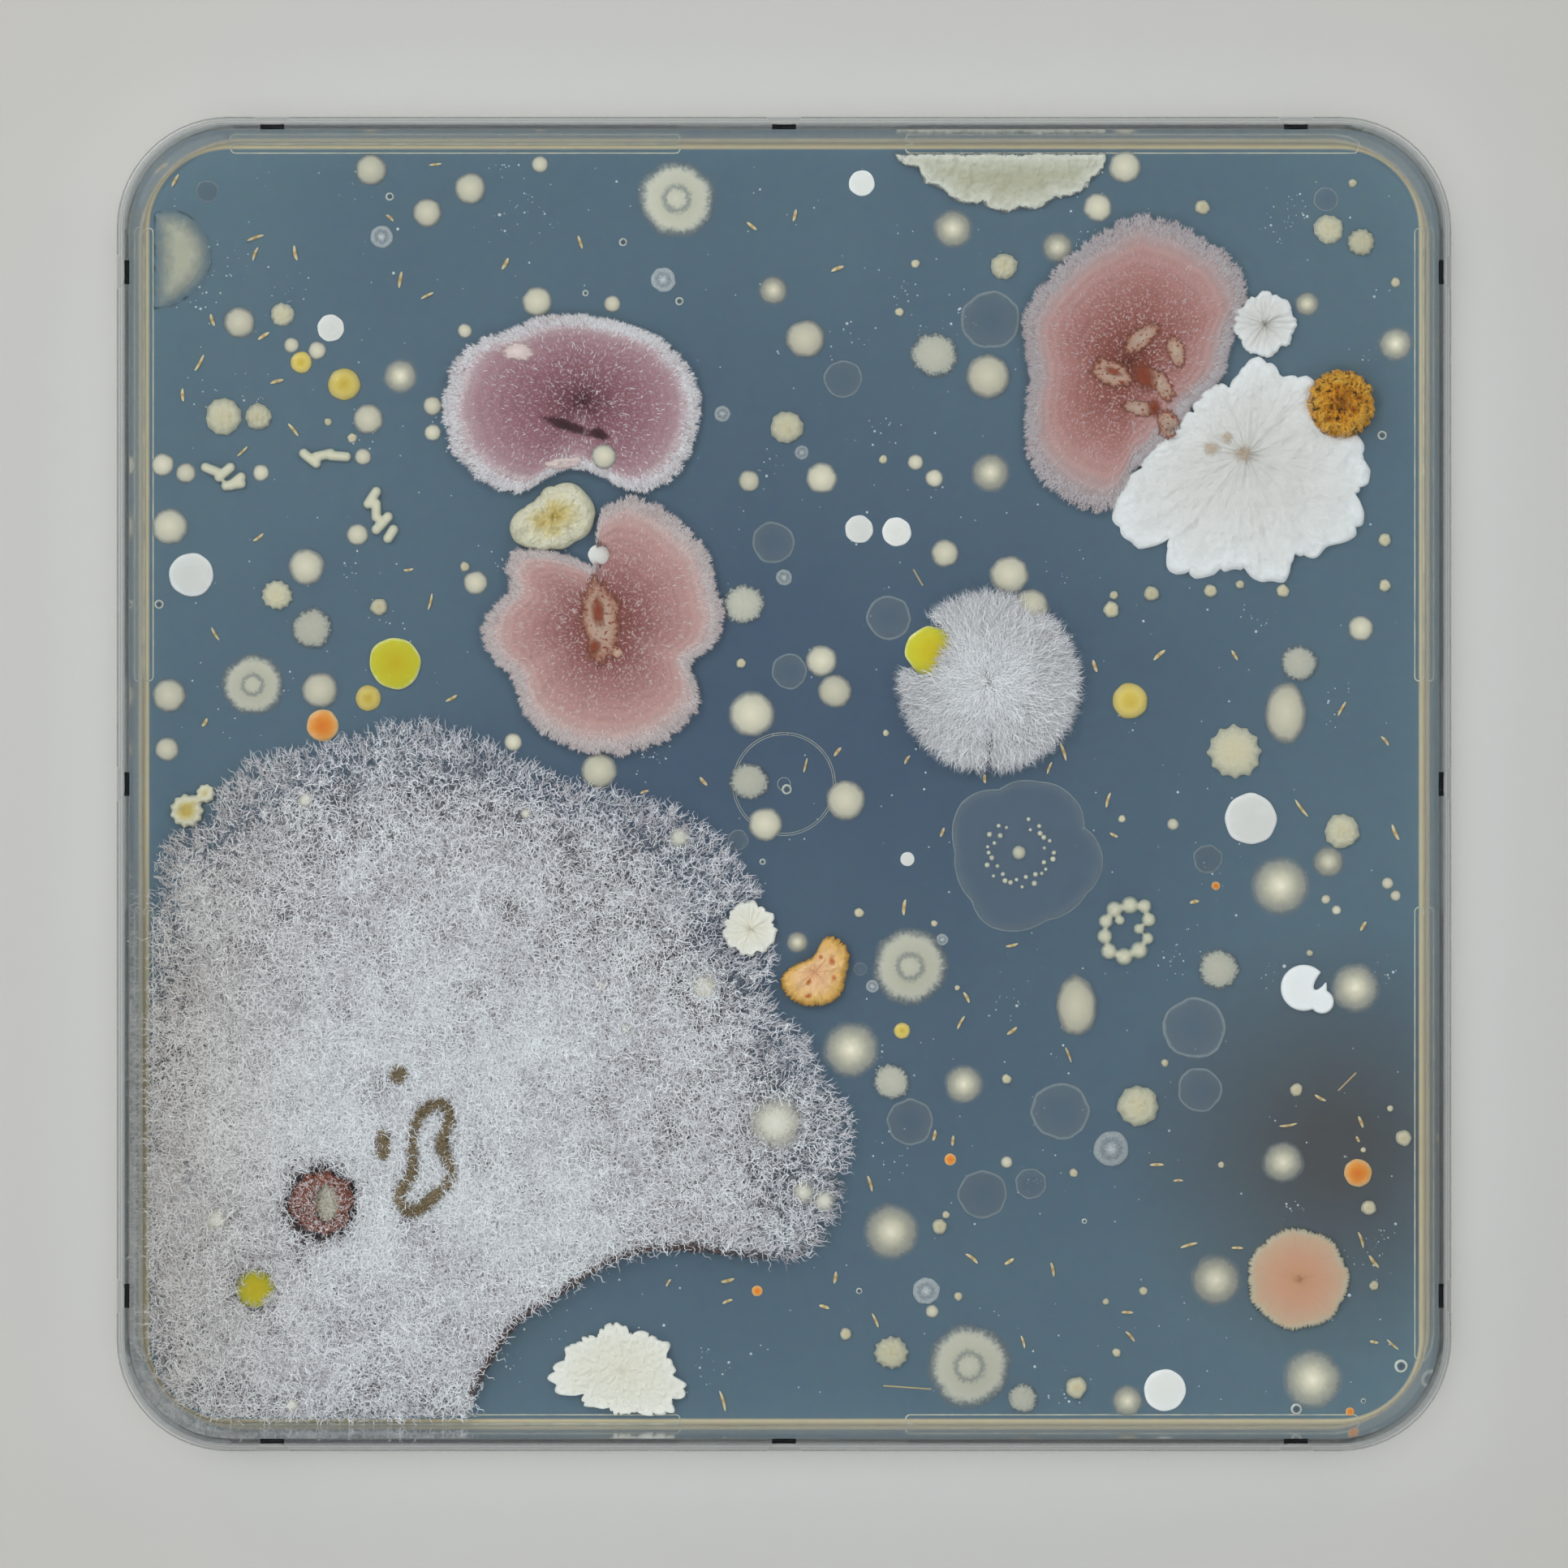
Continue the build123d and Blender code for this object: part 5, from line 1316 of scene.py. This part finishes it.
class DISH_OT_small(bpy.types.Operator):
    """The small colonies, by kind"""

    bl_idname = "dish.small"
    bl_label = "Small colonies"

    def execute(self, context):
        # Smooth butyrous colonies: opaque white, and cream that thins at the edge
        white = radial(
            "white_butyrous", [(0.0, "#E2DFD6"), (0.8, "#E6E3DC"), (1.0, "#F2F0EB")], grain_mm=3,
            grain=0.1, bump_mm=0.03, rough=(0.22, 0.32),
        )
        cream = radial(
            "cream_butyrous",
            [(0.0, "#DDD4BC"), (0.4, "#D0C8B0"), (0.75, "#B9B3A0"), (1.0, "#8E9493")],
            grain_mm=1.5, grain=0.12, streak=0.03, bump_mm=0.05, rough=(0.25, 0.4),
            fade=[(0.7, 1.0), (0.88, 0.5), (1.02, 0.0)], soft=0.15,
        )
        halo = radial(
            "spreading_haze",
            [(0.0, "#F0E6CE"), (0.22, "#D6CDB4"), (0.55, "#B3AE9A"), (1.0, "#8A9092")],
            grain_mm=0.9, grain=0.1, streak=0.08, spokes=14, bump_mm=0.06, rough=(0.5, 0.7),
            fade=[(0.3, 1.0), (0.75, 0.7), (1.0, 0.0)],
        )
        ring = radial(
            "ringed_growth",
            [(0.0, "#D2CDB8"), (0.2, "#C9C4AE"), (0.3, "#8C9089"), (0.42, "#C4BFA9"), (0.7, "#CBC6B2"),
             (0.85, "#9EA19A"), (1.0, "#7D878B")],
            grain_mm=0.8, grain=0.12, streak=0.1, spokes=12, bump_mm=0.15, rough=(0.4, 0.6),
            fade=[(0.78, 1.0), (1.0, 0.1)],
        )
        rough = radial(
            "frayed_growth", [(0.0, "#C9C4B2"), (0.6, "#BCB9A8"), (1.0, "#8D9392")], grain_mm=0.45,
            grain=0.35, streak=0.15, spokes=16, bump_mm=0.25, rough=(0.7, 0.9),
            fade=[(0.75, 1.0), (1.0, 0.1)],
        )
        yellow = radial(
            "yellow_butyrous", [(0.0, "#C9A93E"), (0.6, "#D8BF62"), (1.0, "#B9A661")], grain_mm=1.5,
            grain=0.12, bump_mm=0.05, rough=(0.2, 0.32),
        )
        lime = radial(
            "yellow_green_pigment", [(0.0, "#C8B019"), (0.55, "#CBBC24"), (0.9, "#C9C42F"), (1.0, "#E4E2A0")],
            grain_mm=1.5, grain=0.12, bump_mm=0.05, rough=(0.2, 0.32),
        )
        orange = radial(
            "orange_butyrous", [(0.0, "#E0742A"), (0.45, "#E68A2E"), (0.8, "#E9A050"), (1.0, "#D8B98A")],
            grain_mm=1.5, grain=0.12, bump_mm=0.05, rough=(0.2, 0.32),
        )
        fold = radial(
            "wrinkled_cream", [(0.0, "#D5C9A4"), (0.6, "#CBC3A6"), (1.0, "#A3A391")], grain_mm=0.9,
            grain=0.3, streak=0.15, spokes=9, bump_mm=0.35, rough=(0.3, 0.45),
        )
        bead = radial(
            "beaded_cream", [(0.0, "#D9D2B6"), (0.7, "#BFBCA4"), (1.0, "#8E978E")], grain_mm=1.0,
            grain=0.1, bump_mm=0.05, rough=(0.2, 0.35), coat=0.2,
        )
        film = radial(
            "clear_biofilm", [(0.0, "#66788A"), (0.85, "#74828C"), (1.0, "#9AA3A4")], grain_mm=2.0,
            grain=0.1, bump_mm=0.03, rough=(0.35, 0.5),
            fade=[(0.0, 0.45), (0.85, 0.5), (0.95, 0.75), (1.05, 0.2)],
        )
        crystal = radial(
            "crystal_disc", [(0.0, "#E8EBEC"), (0.5, "#8F9A9E"), (0.8, "#C9CFD0"), (1.0, "#B4BCBE")],
            grain_mm=0.35, grain=0.5, streak=0.2, spokes=9, bump_mm=0.4, rough=(0.08, 0.3),
            fade=[(0.0, 0.9), (1.0, 0.75)],
        )
        crumb = radial(
            "tan_crumb", [(0.0, "#C9B48C"), (0.6, "#CFC6A9"), (1.0, "#A7A48F")], grain_mm=0.6,
            grain=0.2, bump_mm=0.1, rough=(0.4, 0.6),
        )
        colonies("white_discs_top", "white_discs", white, "white_growth", power=0.3, wave=0.03, seed=71)
        colonies("cream_discs_top", "cream_discs", cream, "cream_growth", spread=1.2, wave=0.03, seed=72)
        colonies("mould_disc_top", "cream_disc_on_mould", cream, "cream_growth", seed=73)
        colonies("halo_discs", "halo_colonies", halo, "haze_growth", spread=1.22, power=1.2, wave=0.04,
                 crown=0.8, seed=74)
        colonies("ringed_discs", "ringed_colonies", ring, "cream_growth", spread=1.15, power=0.8,
                 wave=0.05, crown=0.6, seed=75, rings=40, segments=64)
        colonies("frayed_discs", "rough_colonies", rough, "cream_growth", spread=1.08, power=0.5,
                 wave=0.08, petals=17, depth=0.12, wrinkle=0.25, seed=76, segments=64)
        colonies("wrinkled_discs", "wrinkled_colonies", fold, "cream_growth", power=0.5, wave=0.06,
                 petals=11, depth=0.08, wrinkle=0.6, seed=77, segments=64, rings=32)
        colonies("flower_discs", "flower_colonies", fold, "cream_growth", power=0.5, wave=0.04,
                 petals=12, depth=0.16, wrinkle=0.35, seed=78, segments=72, rings=32)
        colonies("bead_lumps", "film_granules", bead, "cream_growth", wave=0.06, seed=79, segments=16,
                 rings=12)
        pad("bead_cluster", "beaded_colony", bead, "cream_growth", 0.16, 0.1, 1.2, seed=80.0)
        colonies("film_discs", "clear_films", film, "film_growth", spread=1.05, power=0.25, wave=0.05,
                 seed=81)
        pad("broad_film_sheet", "broad_film", film, "film_growth", 0.3, 0.6, 2.0, stretch=5.0, seed=82.0)
        colonies("crystal_tops", "crystal_discs", crystal, "crystal_growth", power=0.4, wave=0.05,
                 wrinkle=0.3, seed=83)
        colonies("yellow_tops", "yellow_discs", yellow, "yellow_growth", power=0.5, seed=84)
        colonies("lime_tops", "yellow_green_colonies", lime, "yellow_growth", power=0.3, wave=0.04,
                 petals=2, depth=0.03, seed=85, segments=64)
        colonies("orange_tops", "orange_discs", orange, "salmon_growth", power=0.5, seed=86)
        colonies("crumb_tops", "small_crumbs", crumb, "cream_growth", power=0.5, wave=0.12, wrinkle=0.15,
                 seed=87, segments=20, rings=12)
        pad("worm_chains", "worm_colonies", bead, "cream_growth", 0.16, 0.8, 0.9, seed=88.0)
        return {"FINISHED"}


class DISH_OT_litter(bpy.types.Operator):
    """Bubbles, husks, fibres and the fine specks"""

    bl_idname = "dish.litter"
    bl_label = "Bubbles, husks and specks"

    def execute(self, context):
        sizes = context.scene.dish_sizes
        dice = np.random.default_rng(91)
        # Bubbles: a painted highlight, a pale ring three quarters of the way out, round a darker middle
        bubble = radial(
            "bubble_painted_highlight", [(0.0, "#3F4F5C"), (0.55, "#56646C"), (0.75, "#E4E2D2"), (1.0, "#8D9A9D")],
            grain_mm=2, grain=0.03, bump_mm=0.0, rough=(0.05, 0.1), coat=0.5,
        )
        colonies("bubble_caps", "agar_bubbles", bubble, "film_growth", seed=92, segments=24, rings=16)
        # Dry chaff: pale straw scales with a darker keel
        chaff = radial(
            "straw_chaff", [(0.0, "#B3925C"), (0.4, "#D3BE8E"), (1.0, "#DDD0AC")], grain_mm=0.4,
            grain=0.2, bump_mm=0.1, rough=(0.45, 0.65),
        )
        chips("chaff", "seed_husks", chaff, "husk", 0.32, 0.16, 93)
        pad("fibres", "loose_fibres", chaff, "husk", 0.07, 0.1, 0.1, seed=94.0)
        # Specks: precipitate and dust, a bead of twenty faces each
        deselect()
        bpy.ops.mesh.primitive_ico_sphere_add(subdivisions=1, radius=1.0)
        master = bpy.context.object
        unit = points_of(master.data)
        faces = [tuple(face.vertices) for face in master.data.polygons]
        bpy.data.objects.remove(master)
        half = GEL_HALF - EDGE_GAP
        centres = dice.uniform(-half, half, (sizes.speck_count, 2))
        clusters = dice.uniform(-half, half, (60, 2))
        packed = dice.random(sizes.speck_count) < 0.45
        chosen = clusters[dice.integers(0, 60, sizes.speck_count)]
        centres[packed] = (chosen + dice.normal(0, 2.0 * MM, chosen.shape))[packed]
        centres = np.clip(centres, -half, half)
        radius = sizes.speck_size / 2 * np.exp(dice.normal(-0.2, 0.45, sizes.speck_count))
        rows = unit[None] * radius[:, None, None]
        rows[:, :, 2] *= 0.6
        rows += np.column_stack((centres, np.full(len(centres), AGAR_TOP + 0.05 * MM)))[:, None]
        base = len(unit) * np.arange(sizes.speck_count)[:, None, None]
        mesh = bpy.data.meshes.new("specks")
        mesh.from_pydata(rows.reshape(-1, 3), [], (base + np.array(faces)).reshape(-1, 3).tolist())
        specks = bpy.data.objects.new("specks", mesh)
        bpy.context.scene.collection.objects.link(specks)
        settle(specks, plain_grain("pale_precipitate", "#AEB9BF", "#E9ECEC", 0.4, 0.5), "film_growth")
        return {"FINISHED"}


class DISH_OT_stage(bpy.types.Operator):
    """Floor, light and camera"""

    bl_idname = "dish.stage"
    bl_label = "Stage"

    def execute(self, context):
        deselect()
        bpy.ops.mesh.primitive_plane_add(size=6.0, location=(0, 0, CAD_BOX[0][2] - 0.1 * MM))
        floor = bpy.context.object
        floor.name = "floor"
        shade = context.scene.dish_colours.floor
        floor.data.materials.append(plain_grain("matt_paper", shade, shade, 8, 0.9, 0.0))
        for index in range(4):
            turn = radians(45 + 90 * index)
            bpy.ops.object.light_add(
                type="AREA", location=(LAMP_REACH * cos(turn), LAMP_REACH * sin(turn), LAMP_HEIGHT),
            )
            lamp = bpy.context.object
            lamp.name = f"soft_lamp_{index}"
            lamp.data.shape = "SQUARE"
            lamp.data.size = 0.8
            lamp.data.energy = LAMP_WATTS[index]
            lamp.rotation_euler = (Vector((0, 0, 0)) - lamp.location).to_track_quat("-Z", "Y").to_euler()
        world = bpy.data.worlds.new("studio")
        world.use_nodes = True
        world.node_tree.nodes["Background"].inputs["Color"].default_value = linear("#FFFFFF")
        world.node_tree.nodes["Background"].inputs["Strength"].default_value = 0.16
        context.scene.world = world
        context.scene.view_settings.view_transform = "Standard"
        bpy.ops.object.camera_add(location=(0, 0, CAMERA_HEIGHT), rotation=(0, 0, 0))
        camera = bpy.context.object
        camera.name = "overhead_camera"
        camera.data.sensor_width = 36
        camera.data.lens = 145
        context.scene.camera = camera
        return {"FINISHED"}


STEPS = (
    DISH_OT_mouldings, DISH_OT_agar, DISH_OT_mat, DISH_OT_mat_marks, DISH_OT_rosy, DISH_OT_large,
    DISH_OT_tuft, DISH_OT_small, DISH_OT_litter, DISH_OT_stage,
)


class DISH_PT_panel(bpy.types.Panel):
    """The steps in order"""

    bl_label = "Culture dish"
    bl_idname = "DISH_PT_panel"
    bl_space_type = "VIEW_3D"
    bl_region_type = "UI"
    bl_category = "Dish"

    def draw(self, context):
        for settings in (context.scene.dish_sizes, context.scene.dish_colours):
            for name in settings.__annotations__:
                self.layout.prop(settings, name)
        for step in STEPS:
            self.layout.operator(step.bl_idname)


CLASSES = (DishSizes, DishColours, *STEPS, DISH_PT_panel)


def register():
    """Adds the classes and the scene's settings."""
    for kind in CLASSES:
        bpy.utils.register_class(kind)
    bpy.types.Scene.dish_sizes = bpy.props.PointerProperty(type=DishSizes)
    bpy.types.Scene.dish_colours = bpy.props.PointerProperty(type=DishColours)


def unregister():
    """Takes them away again."""
    del bpy.types.Scene.dish_colours
    del bpy.types.Scene.dish_sizes
    for kind in reversed(CLASSES):
        bpy.utils.unregister_class(kind)


def main():
    """Runs every step in order."""
    register()
    for step in STEPS:
        group, call = step.bl_idname.split(".")
        getattr(getattr(bpy.ops, group), call)()


if __name__ == "__main__":
    main()
